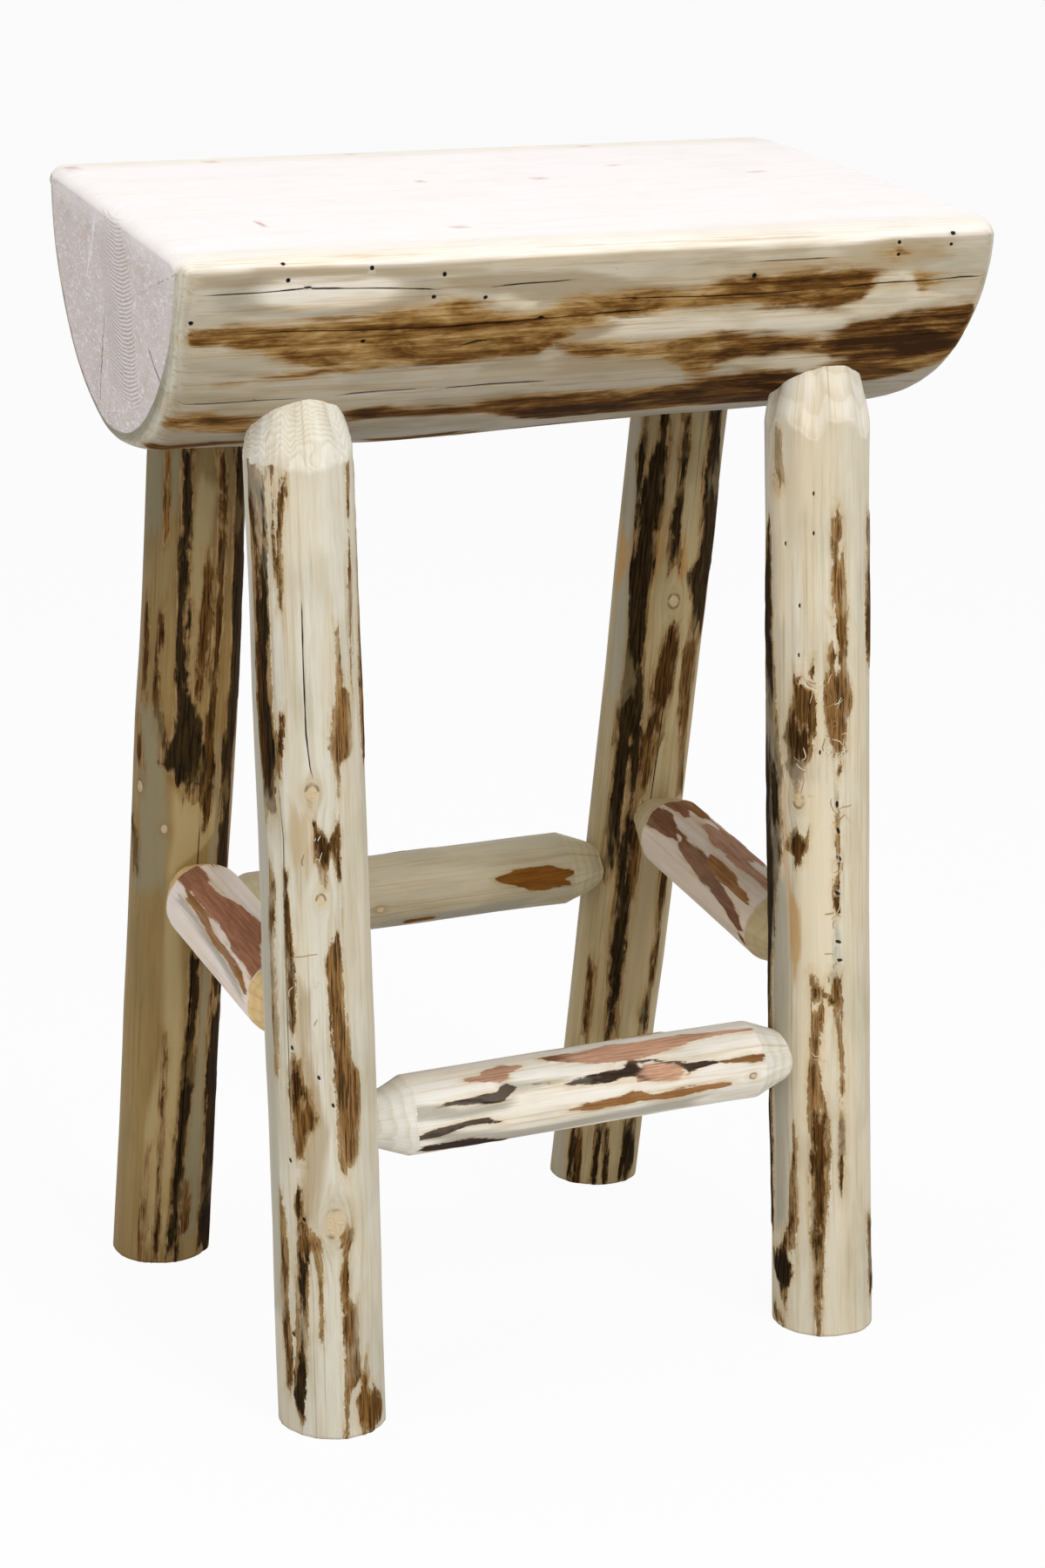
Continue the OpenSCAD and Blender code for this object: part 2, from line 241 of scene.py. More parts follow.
    "seat_half_log": """
t -269 11 17 -245 11 18 -235 9 14
t -236 5 10 -203 6 14 -127 11 17 -93 12 16
b -264 48 51 -257 42 54 -242 42 60 -231 42 62 -208 41 75 -196 40 79 -185 40 78 -175 39 74 -120 32 76 -108 31 78 -74 41
75 -62 43 75 -51 41 75 -41 38 65
b -51 40 74 -42 35 60 -31 34 56 -8 34 55 14 34 50 38 36 49 61 30 48 73 29 50
d 38 36 49 61 30 48 72 27 50 120 24 50 145 24 54 157 24 54 167 25 41 174 26 34
t -123 18 21 -103 16 27 -81 16 29 -57 17 38 -35 17 37 12 28 37 42 32 36
d -244 86 89 -214 79 86 -170 73 84 -149 72 79 -127 72 77 -104 72 78
d -30 67 77 -12 67 82 5 66 84 36 70 88 49 67 94 63 66 108 77 66 116
k 70 66 113 79 66 97 96 69 91 121 73 92 133 73 91 147 73 96
k 142 74 94 154 72 119 163 66 120 190 61 135 203 60 137 225 56 126 234 53 112 238 53 62 241 52 102
k 66 114 126 77 111 139 91 109 148 106 106 163 119 106 166 131 109 165 140 112 158 143 116 144 154 117 133
k -158 122 144 -144 121 140 -133 120 139 -86 124 141 -64 120 142 -38 118 156 -12 120 167 61 120 170 85 122 166 114 140
168 145 148 171
d -264 120 129 -246 117 139 -232 124 144 -221 125 146 -210 127 138
b -258 127 138 -237 133 148 -213 136 153
k -266 176 198 -250 171 194 -228 168 188 -197 167 181
k -125 184 200 -99 184 201 -77 179 198 -54 182 194
t 146 11 22 164 9 26 183 7 27 201 9 27 219 11 23
b 174 15 21 183 14 22 189 17 21
b 193 32 37 199 31 42 206 32 45 211 34 43
b 207 15 19 213 16 19
t 74 27 36 93 21 29 141 19 25 165 20 26
t -32 78 97 41 87 99 69 102 110
t -49 57 77 -5 54 61
t -80 71 89 -45 77 89
""",
    "pale": """
n -88 31 34 -79 29 38 -68 29 41 -59 31 39 -56 34 35
n 155 50 55 166 45 59 189 34 61 194 27 56 203 43 54 226 48 50
n 179 29 39 193 27 37
n 92 94 99 115 90 108 128 90 112 154 94 112 161 100 108
n -6 48 65 65 48 65 138 54 68 155 59 65
""",
}

# Colours of the inner bark, from black to red-brown, and of the stains beside it; the grey g, where it runs down a
# leg's left side, is painted shade
BARK = {"k": (0.030, 0.018, 0.006), "d": (0.080, 0.038, 0.009), "b": (0.155, 0.080, 0.022), "r": (0.245, 0.135, 0.048)}
SEAT_BARK = {
    "k": (0.062, 0.027, 0.005), "d": (0.085, 0.042, 0.012), "b": (0.110, 0.058, 0.019), "r": (0.22, 0.12, 0.05),
}
STAIN = {
    "t": (0.40, 0.29, 0.15), "y": (0.68, 0.58, 0.40), "m": (0.37, 0.28, 0.13), "n": (0.22, 0.19, 0.11),
    "g": (0.34, 0.31, 0.23), "o": (0.50, 0.25, 0.05),
}
# Values outside every strip, and far from every crack and knot
NO_BARK, FAR = -9, 12


def lin(*rgb):
    """A colour on the screen, 0 to 255, as the renderer's own numbers."""
    return tuple((q / 255 / 12.92) if q <= 10 else ((q / 255 + 0.055) / 1.055) ** 2.4 for q in rgb)


def unit(v):
    """The vector v at a length of 1."""
    return v / np.linalg.norm(v)


def rnd(i, j, k, seed):
    """A number from -1 to 1 for each point of a lattice."""
    i, j, k = (q.astype(np.int64).astype(np.uint32) for q in (i, j, k))
    h = i * np.uint32(0x9E3779B1) ^ j * np.uint32(0x85EBCA77) ^ k * np.uint32(0xC2B2AE3D)
    h = h ^ np.uint32(seed * 2654435761 % 2**32)
    h = (h ^ h >> np.uint32(15)) * np.uint32(0x2C1B3C6D)
    h = (h ^ h >> np.uint32(12)) * np.uint32(0x297A2D39)
    return (h ^ h >> np.uint32(15)).astype(float) / 2**31 - 1


def noise(p, size, seed):
    """Smooth noise from -1 to 1 at the points p, its lumps about size mm along each axis."""
    q = p / np.array(size, float)
    low = np.floor(q)
    t = q - low
    t = t * t * (3 - 2 * t)
    out = 0
    for corner in np.ndindex(2, 2, 2):
        w = np.prod(np.abs(1 - np.array(corner) - t), -1)
        out = out + w * rnd(*np.moveaxis(low + corner, -1, 0), seed)
    return out


def layers(p, seed, *parts):
    """A sum of noises. Each part is a height, a size along each axis and what it adds to the seed."""
    return sum(k * noise(p, size, seed + n) for k, size, n in parts)


def step(x, a, b):
    """0 up to a, 1 from b on, and smooth between them."""
    t = np.clip((x - a) / (b - a), 0, 1)
    return t * t * (3 - 2 * t)


def blend(a, b, t):
    """Colours a that turn into colours b where t is 1."""
    t = np.asarray(t, float)[..., None]
    return np.array(a) * (1 - t) + np.array(b) * t


def strips(text):
    """The strips in a text, each as its tone and its rows of place, start and end."""
    out = []
    for word in text.split():
        if word.isalpha():
            out.append((word, []))
        else:
            out[-1][1].append(float(word))
    return [(tone, np.array(rows).reshape(-1, 3)) for tone, rows in out]


def track(path):
    """A crack's place along and round its log, in order."""
    path = np.array(path, float).reshape(-1, 2)
    return path[np.argsort(path[:, 0])]


def wild(seed, count, along, around, per_mm, tones, length=(30, 210), width=(1.2, 8)):
    """Strips for the sides that the photograph doesn't show, like those that it does."""
    rng = np.random.default_rng(seed)
    out = []
    for _ in range(count):
        tone = tones[rng.integers(len(tones))]
        mid, long = rng.uniform(*along), length[0] + (length[1] - length[0]) * rng.random() ** 1.6
        n = max(5, int(long / 14))
        s = np.linspace(mid - long / 2, mid + long / 2, n)
        c = rng.uniform(*around) + np.cumsum(rng.normal(0, 0.9, n)) * per_mm
        h = width[0] + (width[1] - width[0]) * rng.random() ** 1.7
        h = h * np.sin(np.pi * np.linspace(0.07, 0.93, n)) ** 0.6 * rng.uniform(0.55, 1.2, n) * per_mm
        out.append((tone, np.stack([s, c - h, c + h], 1)))
    return out


def cover(found, s, u, mm_per_u, colours, wrap):
    """Over a net of places s along and u around: mm inside the nearest strip, and its colour."""
    best = np.full(u.shape, float(NO_BARK))
    weight = np.full(u.shape, 1e-9)
    colour = np.zeros(u.shape + (3,))
    for k, (tone, rows) in enumerate(found):
        place, start, end = rows[np.argsort(rows[:, 0])].T
        near = np.nonzero((s > place[0] - 12) & (s < place[-1] + 12))[0]
        if not len(near):
            continue
        near = slice(near[0], near[-1] + 1)
        here = s[near]
        off = u[near] - np.interp(here, place, (start + end) / 2)[:, None]
        if wrap:
            off = (off + 180) % 360 - 180
        d = (np.interp(here, place, (end - start) / 2)[:, None] - np.abs(off)) * mm_per_u
        # the ends fray into fibres
        ends = np.minimum(here - place[0], place[-1] - here)[:, None]
        fray = noise(np.stack([u[near] * mm_per_u, here[:, None] + 0 * off, 0 * off], -1), (2.6, 60, 9), 900 + k)
        d = np.clip(np.minimum(d, (ends + 7 * fray) * 0.4 + 0.8), -9, 9)
        w = np.exp(d / 0.7)
        shade = 1 + 0.16 * float(rnd(np.array(k), np.array(3), np.array(5), 7))
        weight[near] += w
        colour[near] += w[..., None] * (np.array(colours[tone]) * shade)
        best[near] = np.maximum(best[near], d)
    return best, colour / weight[..., None]


def lines(first, last, gap, fine, k):
    """Places about gap apart, closer round each of the fine places, where k is 1 mm."""
    n = max(4, round((last - first) / gap))
    u = first + (last - first) * np.arange(n) / n
    for c in fine:
        u = u[np.abs(u - c) > 2.6 * k]
    close = k * np.array([-2.1, -1.35, -0.85, -0.5, -0.22, 0, 0.22, 0.5, 0.85, 1.35, 2.1])
    return np.sort(np.concatenate([u, *(c + close for c in fine)]))


def flats(u, s, seed, count, deep):
    """How much of a round of radius 1 the flats left by a drawknife take away."""
    rng = np.random.default_rng(seed)
    out = 0 * u
    for m in np.linspace(-180, 180, count, endpoint=False):
        mid = m + rng.uniform(-10, 10) + 6 * np.sin(s / rng.uniform(60, 140) + rng.uniform(0, 6))
        cut = deep * rng.uniform(0.3, 1.0) * (0.65 + 0.35 * np.sin(s / rng.uniform(40, 110) + rng.uniform(0, 6)))
        off = np.radians((u - mid[:, None] + 180) % 360 - 180)
        flat = 1 - (1 - cut[:, None]) / np.maximum(np.cos(off), 0.5)
        out = np.maximum(out, np.where(np.abs(off) < 0.7, flat, 0))
    return out


def groove(s, off, path, width, depth, seed):
    """How deep a crack is, and how many of its half widths away, from the distance off to its middle line."""
    run = step(s, path[0, 0], path[0, 0] + 14) * (1 - step(s, path[-1, 0] - 14, path[-1, 0]))
    run = (run * (0.75 + 0.35 * noise(np.stack([s * 0 + 5, s * 0, s], -1), (9, 9, 9), seed)))[:, None]
    half = np.maximum(width * run, 0.02)
    return depth * np.clip(run, 0, 1) * np.exp(-((off / half) ** 2)), np.clip(np.abs(off) / half, 0, FAR)


def at(net, i, j):
    """The point of a net between its rows and columns, and its outward way."""
    cols = net.shape[1]
    a, b = int(i), int(j)
    t, w = i - a, j - b
    p, q = net[a] * (1 - t) + net[a + 1] * t, net[a + 1] - net[a]
    point = p[b % cols] * (1 - w) + p[(b + 1) % cols] * w
    n = unit(np.cross(q[b % cols], p[(b + 2) % cols] - p[(b - 1) % cols]))
    return point, n * np.sign(n @ (point - p.mean(0)))


def pit(net, i0, i1, j0, j1, i, j, size, turn, depth):
    """A hole or a mark, oval by size, in the block of a net from i0, j0 to i1, j1.

    Gives the block's rim, the new points and how dark they are: painted shade down a hole, or how much of a mark's
    tint.
    """
    cols = net.shape[1]
    rim = [(i0, b) for b in range(j0, j1)] + [(a, j1) for a in range(i0, i1)]
    rim += [(i1, b) for b in range(j1, j0, -1)] + [(a, j0) for a in range(i1, i0, -1)]
    rim = [(a, b % cols) for a, b in rim]
    c, n = at(net, i, j)
    long = unit(at(net, i + 0.5, j)[0] - at(net, i - 0.5, j)[0])
    wide = np.cross(n, long)
    points, dark = [], []
    for grow, sink, shade in ((1.0, 0.0, 0.55), (0.82, 0.35, 1.0), (0.6, 1.0, 1.0)):
        for a, b in rim:
            f = math.atan2((net[a, b] - c) @ wide, (net[a, b] - c) @ long)
            r = grow / math.hypot(math.cos(f - turn) / size[0], math.sin(f - turn) / size[1])
            points.append(c + r * (math.cos(f) * long + math.sin(f) * wide) - n * depth * sink)
            dark.append(shade)
    return rim, points + [c - n * depth * 1.05], dark + [1.0]


def thread(net, i, j, mm, steps, thick, seed):
    """A loose fibre that curls over the surface: its points and faces."""
    rng = np.random.default_rng(seed)
    f, bend = rng.uniform(0, 6.28), rng.normal(0, 0.25)
    ends = []
    for k in range(steps):
        ends.append(at(net, min(max(i, 1), net.shape[0] - 3), j))
        f, bend = f + bend, bend * 0.8 + rng.normal(0, 0.22)
        i, j = i + 1.5 * math.cos(f) / mm[0], j + 1.5 * math.sin(f) / mm[1]
    points = []
    for k, (p, n) in enumerate(ends):
        side = unit(np.cross(n, ends[min(k + 1, steps - 1)][0] - ends[max(k - 1, 0)][0]))
        r = thick * math.sin(math.pi * (k + 0.5) / steps) ** 0.4
        lift = thick * (0.5 + 0.9 * math.sin(math.pi * k / (steps - 1)) * (seed % 3 == 0))
        for m in range(5):
            points.append(p + n * lift + r * (math.cos(m * 1.2566) * side + math.sin(m * 1.2566) * n))
    round5 = [(m, (m + 1) % 5) for m in range(5)]
    quads = [[k * 5 + m, k * 5 + n, k * 5 + 5 + n, k * 5 + 5 + m] for k in range(steps - 1) for m, n in round5]
    last = 5 * (steps - 1)
    tris = [q for m in range(1, 4) for q in ([0, m + 1, m], [last, last + m, last + m + 1])]
    return points, quads, tris


def loose(look, per_deg):
    """Loose fibres round the places where the look has them."""
    rng = np.random.default_rng(look["seed"] + 60)
    out = []
    for a, b, count, spread in look["fibres"]:
        for _ in range(count):
            tint = lin(*((226, 214, 184), (170, 132, 88))[rng.choice(2, p=(0.65, 0.35))])
            row, col = a + rng.normal(0, spread), b * per_deg + rng.normal(0, spread * 0.5)
            out.append((row, col, int(rng.integers(4, 9)), rng.uniform(0.2, 0.4), tint))
    return out


def cap(net, values, rows_mm, first, rings, more):
    """Adds a sawn end's rings, given from the rim to the middle, and their values, before or after the net."""
    def join(old, new):
        new = np.asarray(new)
        return np.concatenate([new[::-1], old] if first else [old, new])

    beyond = np.arange(1, len(rings) + 1) * 9.0
    rows_mm = join(rows_mm, rows_mm[0] - beyond if first else rows_mm[-1] + beyond)
    return join(net, rings), {key: join(v, more[key]) for key, v in values.items()}, rows_mm


def link(name, data):
    """A new object in the scene."""
    ob = bpy.data.objects.new(name, data)
    bpy.context.scene.collection.objects.link(ob)
    return ob


def mesh(name, net, values, material, rows_mm, cols_mm, pits=(), threads=()):
    """A piece from a net of points in mm, closed at both ends by a pole, with its values as attributes."""
    rows, cols = net.shape[:2]
    j = np.arange(cols)
    k = (j + 1) % cols
    start = np.arange(rows - 1)[:, None] * cols
    quads = np.stack([start + j, start + k, start + k + cols, start + j + cols], -1)
    keep = np.ones((rows - 1, cols), bool)
    last = (rows - 1) * cols
    tris = np.stack([k, j, np.full(cols, rows * cols)], 1).tolist()
    tris += np.stack([last + j, last + k, np.full(cols, rows * cols + 1)], 1).tolist()
    points, extra = [*net.reshape(-1, 3), net[0].mean(0), net[-1].mean(0)], []
    flat, added = {}, {key: [] for key in values}
    for key, v in values.items():
        w = v.reshape(rows * cols, -1)
        flat[key] = np.concatenate([w, w[:cols].mean(0, keepdims=True), w[-cols:].mean(0, keepdims=True)])

    def place(row, col):
        return np.interp(row, rows_mm, np.arange(rows)), np.interp(col, cols_mm, j)

    for row, col, size, turn, depth, tint in pits:
        # the block of the net round a hole is left free of other holes
        c, s = abs(math.cos(turn)), abs(math.sin(turn))
        di, dj = size[0] * c + size[1] * s + 0.6, size[0] * s + size[1] * c + 0.6
        i0, i1 = np.searchsorted(rows_mm, row - di) - 1, np.searchsorted(rows_mm, row + di)
        j0, j1 = np.searchsorted(cols_mm, col - dj) - 1, np.searchsorted(cols_mm, col + dj)
        if i0 < 1 or i1 > rows - 2 or j0 < 1 or j1 > cols - 2 or not keep[i0:i1, j0:j1].all():
            continue
        keep[i0:i1, j0:j1] = False
        rim, more, dark = pit(net, i0, i1, j0, j1, *place(row, col), size, turn, depth)
        first, m = len(points), len(rim)
        points += more
        outer = [a * cols + b for a, b in rim]
        spots = net.reshape(-1, 3)[outer]
        for q, p in zip(dark, more):
            w = 1 / (((spots - p) ** 2).sum(1) + 0.01)
            for key in flat:
                v = w @ flat[key][outer] / w.sum()
                # down a hole the crack value is set low, which paints its inside dark as shade
                if key == "crack" and tint is None:
                    v = np.array([1.3 - 1.3 * q])
                if key == "base" and tint is not None:
                    v = v * (1 - q) + np.array(tint) * q
                if key == "bark" and tint is not None:
                    v = v * 0 + NO_BARK
                added[key].append(v)
        for ring in range(3):
            inner = [first + ring * m + q for q in range(m)]
            extra += [[outer[q], outer[(q + 1) % m], inner[(q + 1) % m], inner[q]] for q in range(m)]
            outer = inner
        tris += [[outer[q], outer[(q + 1) % m], first + 3 * m] for q in range(m)]
    for count, (row, col, steps, thick, tint) in enumerate(threads):
        at_row, at_col = place(row, col)
        a, b = int(at_row), int(at_col) % cols
        down, across = np.linalg.norm([net[a + 1, b], net[a, (b + 1) % cols]] - net[a, b], axis=1)
        more, q4, q3 = thread(net, at_row, at_col, (down, max(across, 0.5)), steps, thick, count)
        extra += (np.array(q4) + len(points)).tolist()
        tris += (np.array(q3) + len(points)).tolist()
        points += more
        own = dict(bark=[NO_BARK], veil=[NO_BARK], crack=[FAR], knot=[FAR], end=[0], cut=[0], base=tint)
        for key in flat:
            added[key] += [np.array(own.get(key, flat[key][a * cols + b]), float)] * len(more)

    quads = np.concatenate([quads[keep], np.array(extra, int).reshape(-1, 4)])
    tris = np.array(tris, int)
    used = np.zeros(len(points), bool)
    used[quads.ravel()] = used[tris.ravel()] = True
    new = np.cumsum(used) - 1
    quads, tris, points = new[quads], new[tris], np.array(points)[used] / 1000
    me = bpy.data.meshes.new(name)
    me.vertices.add(len(points))
    me.vertices.foreach_set("co", points.astype(np.float32).ravel())
    corners = np.concatenate([quads.ravel(), tris.ravel()]).astype(np.int32)
    me.loops.add(len(corners))
    me.loops.foreach_set("vertex_index", corners)
    count = np.repeat([4, 3], [len(quads), len(tris)])
    me.polygons.add(len(count))
    me.polygons.foreach_set("loop_start", (np.cumsum(count) - count).astype(np.int32))
    me.update(calc_edges=True)
    me.validate()
    work = bmesh.new()
    work.from_mesh(me)
    bmesh.ops.recalc_face_normals(work, faces=work.faces)
    work.to_mesh(me)
    work.free()
    me.polygons.foreach_set("use_smooth", np.ones(len(count), bool))
    for key, v in flat.items():
        v = np.concatenate([v, *[q[None] for q in added[key]]])[used]
        wide = v.shape[1] == 3
        a = me.attributes.new(key, "FLOAT_VECTOR" if wide else "FLOAT", "POINT")
        a.data.foreach_set("vector" if wide else "value", v.astype(np.float32).ravel())
    ob = link(name, me)
    me.materials.append(material)
    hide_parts(name)
    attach(ob, "root")


def log(name, look, foot, way, axis, s, radius, cone, material):
    """A peeled log along way from foot, whose degrees count from axis.

    s are its rings' places, radius its plain radius there and cone the radius of its shaved ends.
    """
    seed, e1 = look["seed"], unit(axis - way * (axis @ way))
    per_deg = math.pi / 180 * look["r"]
    cracks = [(c, track(path), width, depth) for c, path, width, depth in look["cracks"]]
    base = lines(-180, 180, look["gap"] / per_deg, [c[0] for c in cracks], 1.0 / per_deg)
    cols = len(base)
    u = np.repeat(base[None], len(s), 0)
    for c, path, _, _ in cracks:
        t = np.clip((base - c)[None] * per_deg / 16, -1, 1)
        u = u + (np.interp(s, *path.T) - c)[:, None] * (1 - t * t) ** 2
    f = np.radians(u)
    ring_dir = np.cos(f)[..., None] * e1 + np.sin(f)[..., None] * np.cross(way, e1)
    flat = np.stack([np.cos(f) * look["r"], np.sin(f) * look["r"], np.repeat(s[:, None], cols, 1)], -1)
    # bark first, because it stands a little proud of the wood
    bark, tone = cover(look["bark"], s, u, per_deg, look["tones"], True)
    rag = layers(flat, seed, (1.5, (5, 5, 34), 0), (1.0, (2.4, 2.4, 12), 1), (0.4, (9, 9, 5), 2))
    bark = np.where(bark > -8.5, bark + rag * step(bark, -6, 0.5) - 0.1, bark)
    veil, veil_tone = cover(look["stain"], s, u, per_deg, STAIN, True)
    r = radius[:, None] + layers(
        flat, seed, (look["lumps"], (34, 34, 95), 3), (0.55, (13, 13, 130), 4), (0.22, (5, 5, 60), 5),
        (0.10, (2.6, 2.6, 22), 6))
    r = r * (1 - flats(u, s, seed + 40, 13, 0.016))
    grain = flat.copy()
    knot = np.full(u.shape, 6.0)
    for ks, kf, kr, kh in look["knots"]:
        da = ((u - kf + 180) % 360 - 180) * per_deg
        k = np.hypot(da, (s[:, None] - ks) * 0.72) / kr
        knot = np.minimum(knot, k)
        r = r + kh * np.exp(-((k / 2.1) ** 2)) - 0.5 * kh * np.exp(-((k / 0.55) ** 2))
        r = r + 0.22 * kh * np.sin(k * 5.5) * np.exp(-((k - 1.4) ** 2))
        # the fibres part and flow round a knot
        push = np.exp(-((k / 2.4) ** 2)) * kr * 1.5 * np.sign(da) * (1 - np.exp(-np.abs(da) / kr * 1.6))
        turn = np.radians(push / per_deg)
        a, b = grain[..., 0], grain[..., 1]
        grain[..., 0], grain[..., 1] = a * np.cos(turn) + b * np.sin(turn), b * np.cos(turn) - a * np.sin(turn)
    shaved = cone[:, None] + layers(flat, seed, (0.8, (15, 15, 22), 7), (0.35, (7, 7, 13), 8))
    for k in range(3):
        shaved = shaved * (1 - flats(u, s * 2 + 90 * k, seed + 50 + k, 6, look["knife"]))
    cut = step(r - shaved, -0.35, 0.45)
    r = r + 0.62 * step(bark, -0.6, 0.9) * (1 - cut) * (0.8 + 0.5 * noise(flat, (3, 3, 14), seed + 9))
    r = r * (1 - cut) + shaved * cut
    ring = r * (1 + 0.02 * noise(flat, (60, 60, 200), seed + 10))
    ring = ring + layers(flat, seed, (1.3, (22, 22, 90), 11), (0.5, (8, 8, 45), 12))
    # the knife cuts across the yearly rings, which can stand out there
    turned = shaved + look["rough"] * layers(flat, seed, (1, (12, 12, 17), 14), (0.45, (5, 5, 9), 15))
    r = r + look["relief"] * cut * ((turned % 1) ** 2 - 0.33)
    ring = ring * (1 - cut) + look["turns"] * turned * cut
    crack = np.full(u.shape, float(FAR))
    for _, path, width, depth in cracks:
        off = (u - np.interp(s, *path.T)[:, None]) * per_deg
        deep, far = groove(s, off, path, width, depth, seed + 13)
        r, crack = r - deep, np.minimum(crack, far)
    # the middle line bows a little between its fixed ends
    bow = np.sin(np.pi * np.clip((s - s[0]) / (s[-1] - s[0]), 0, 1)) * look["bow"]
    net = (foot + np.outer(s, way) + np.outer(bow, e1))[:, None] + r[..., None] * ring_dir
    if s[0] == 0:
        # a leg's foot is sawn level
        at_floor = -(r[0] * ring_dir[0, :, 2]) / way[2]
        net = net + (1 - step(s, 0, 70))[:, None, None] * at_floor[None, :, None] * way
        net[0, :, 2] = 0.0
    # painted shade: with shade above 0 (the back legs) the wood darkens from 380 to 600 mm along, standing in for the
    # seat's shadow on their tops
    wood_tone = np.array(look["wood"]) * (
        1 + 0.05 * noise(flat, (30, 30, 120), seed + 20) - look["shade"] * step(flat[..., 2], 380, 600))[..., None]
    values = {
        "bark": np.where(cut > 0.5, NO_BARK, bark), "veil": np.where(cut > 0.5, NO_BARK, veil), "ring": ring,
        "knot": knot, "crack": crack, "cut": cut, "end": 0 * u, "plain": 0 * u, "grain": grain, "tone": tone,
        "veil_tone": veil_tone, "base": blend(wood_tone, look["cut_wood"], cut),
    }
    rows_mm = s
    for first in (True, False):
        # a sawn face: rings of points that close on the middle
        row = net[0 if first else -1]
        scale = np.array([0.975] + [1 - k / 9 for k in range(2, 9)])[:, None]
        rings = row.mean(0) + (row - row.mean(0)) * scale[..., None]
        more = {key: np.array([v[0 if first else -1]] * 8) for key, v in values.items()}
        more["ring"] = more["ring"] * scale
        more["grain"] = more["grain"] * np.concatenate([scale, scale, scale * 0 + 1], 1)[:, None]
        for key, v in (("end", 1), ("bark", NO_BARK), ("veil", NO_BARK), ("crack", FAR), ("knot", FAR)):
            more[key] = more[key] * 0 + v
        net, values, rows_mm = cap(net, values, rows_mm, first, rings, more)
    pits = [(a, b * per_deg, *more) for a, b, *more in look["pits"]]
    mesh(name, net, values, material, rows_mm, base * per_deg, pits, loose(look, per_deg))


class Wire:
    """An output of a shader node. Sums with it add Math nodes."""

    def __init__(self, socket):
        self.socket = socket

    def __add__(self, other):
        return calc("ADD", self, other)

    def __sub__(self, other):
        return calc("SUBTRACT", self, other)

    def __rsub__(self, other):
        return calc("SUBTRACT", other, self)

    def __mul__(self, other):
        return calc("MULTIPLY", self, other)

    def __truediv__(self, other):
        return calc("DIVIDE", self, other)

    def __abs__(self):
        return calc("ABSOLUTE", self)


def cleared(owner):
    """The emptied node tree of a material or a world."""
    owner.use_nodes = True
    owner.node_tree.nodes.clear()
    return owner.node_tree


def node(tree, kind, inputs=(), out=0, **sets):
    """A new node with its inputs wired or set. Gives one of its outputs."""
    n = tree.nodes.new("ShaderNode" + kind)
    for key, v in sets.items():
        setattr(n, key, v)
    for key, v in dict(inputs).items():
        socket = n.inputs[key]
        if isinstance(v, Wire):
            tree.links.new(v.socket, socket)
        else:
            socket.default_value = (*v, 1) if socket.type == "RGBA" else v
    return Wire(n.outputs[out]) if len(n.outputs) else None


def calc(op, *parts):
    """A Math node over wires and numbers."""
    tree = next(q.socket.id_data for q in parts if isinstance(q, Wire))
    return node(tree, "Math", enumerate(parts), operation=op)


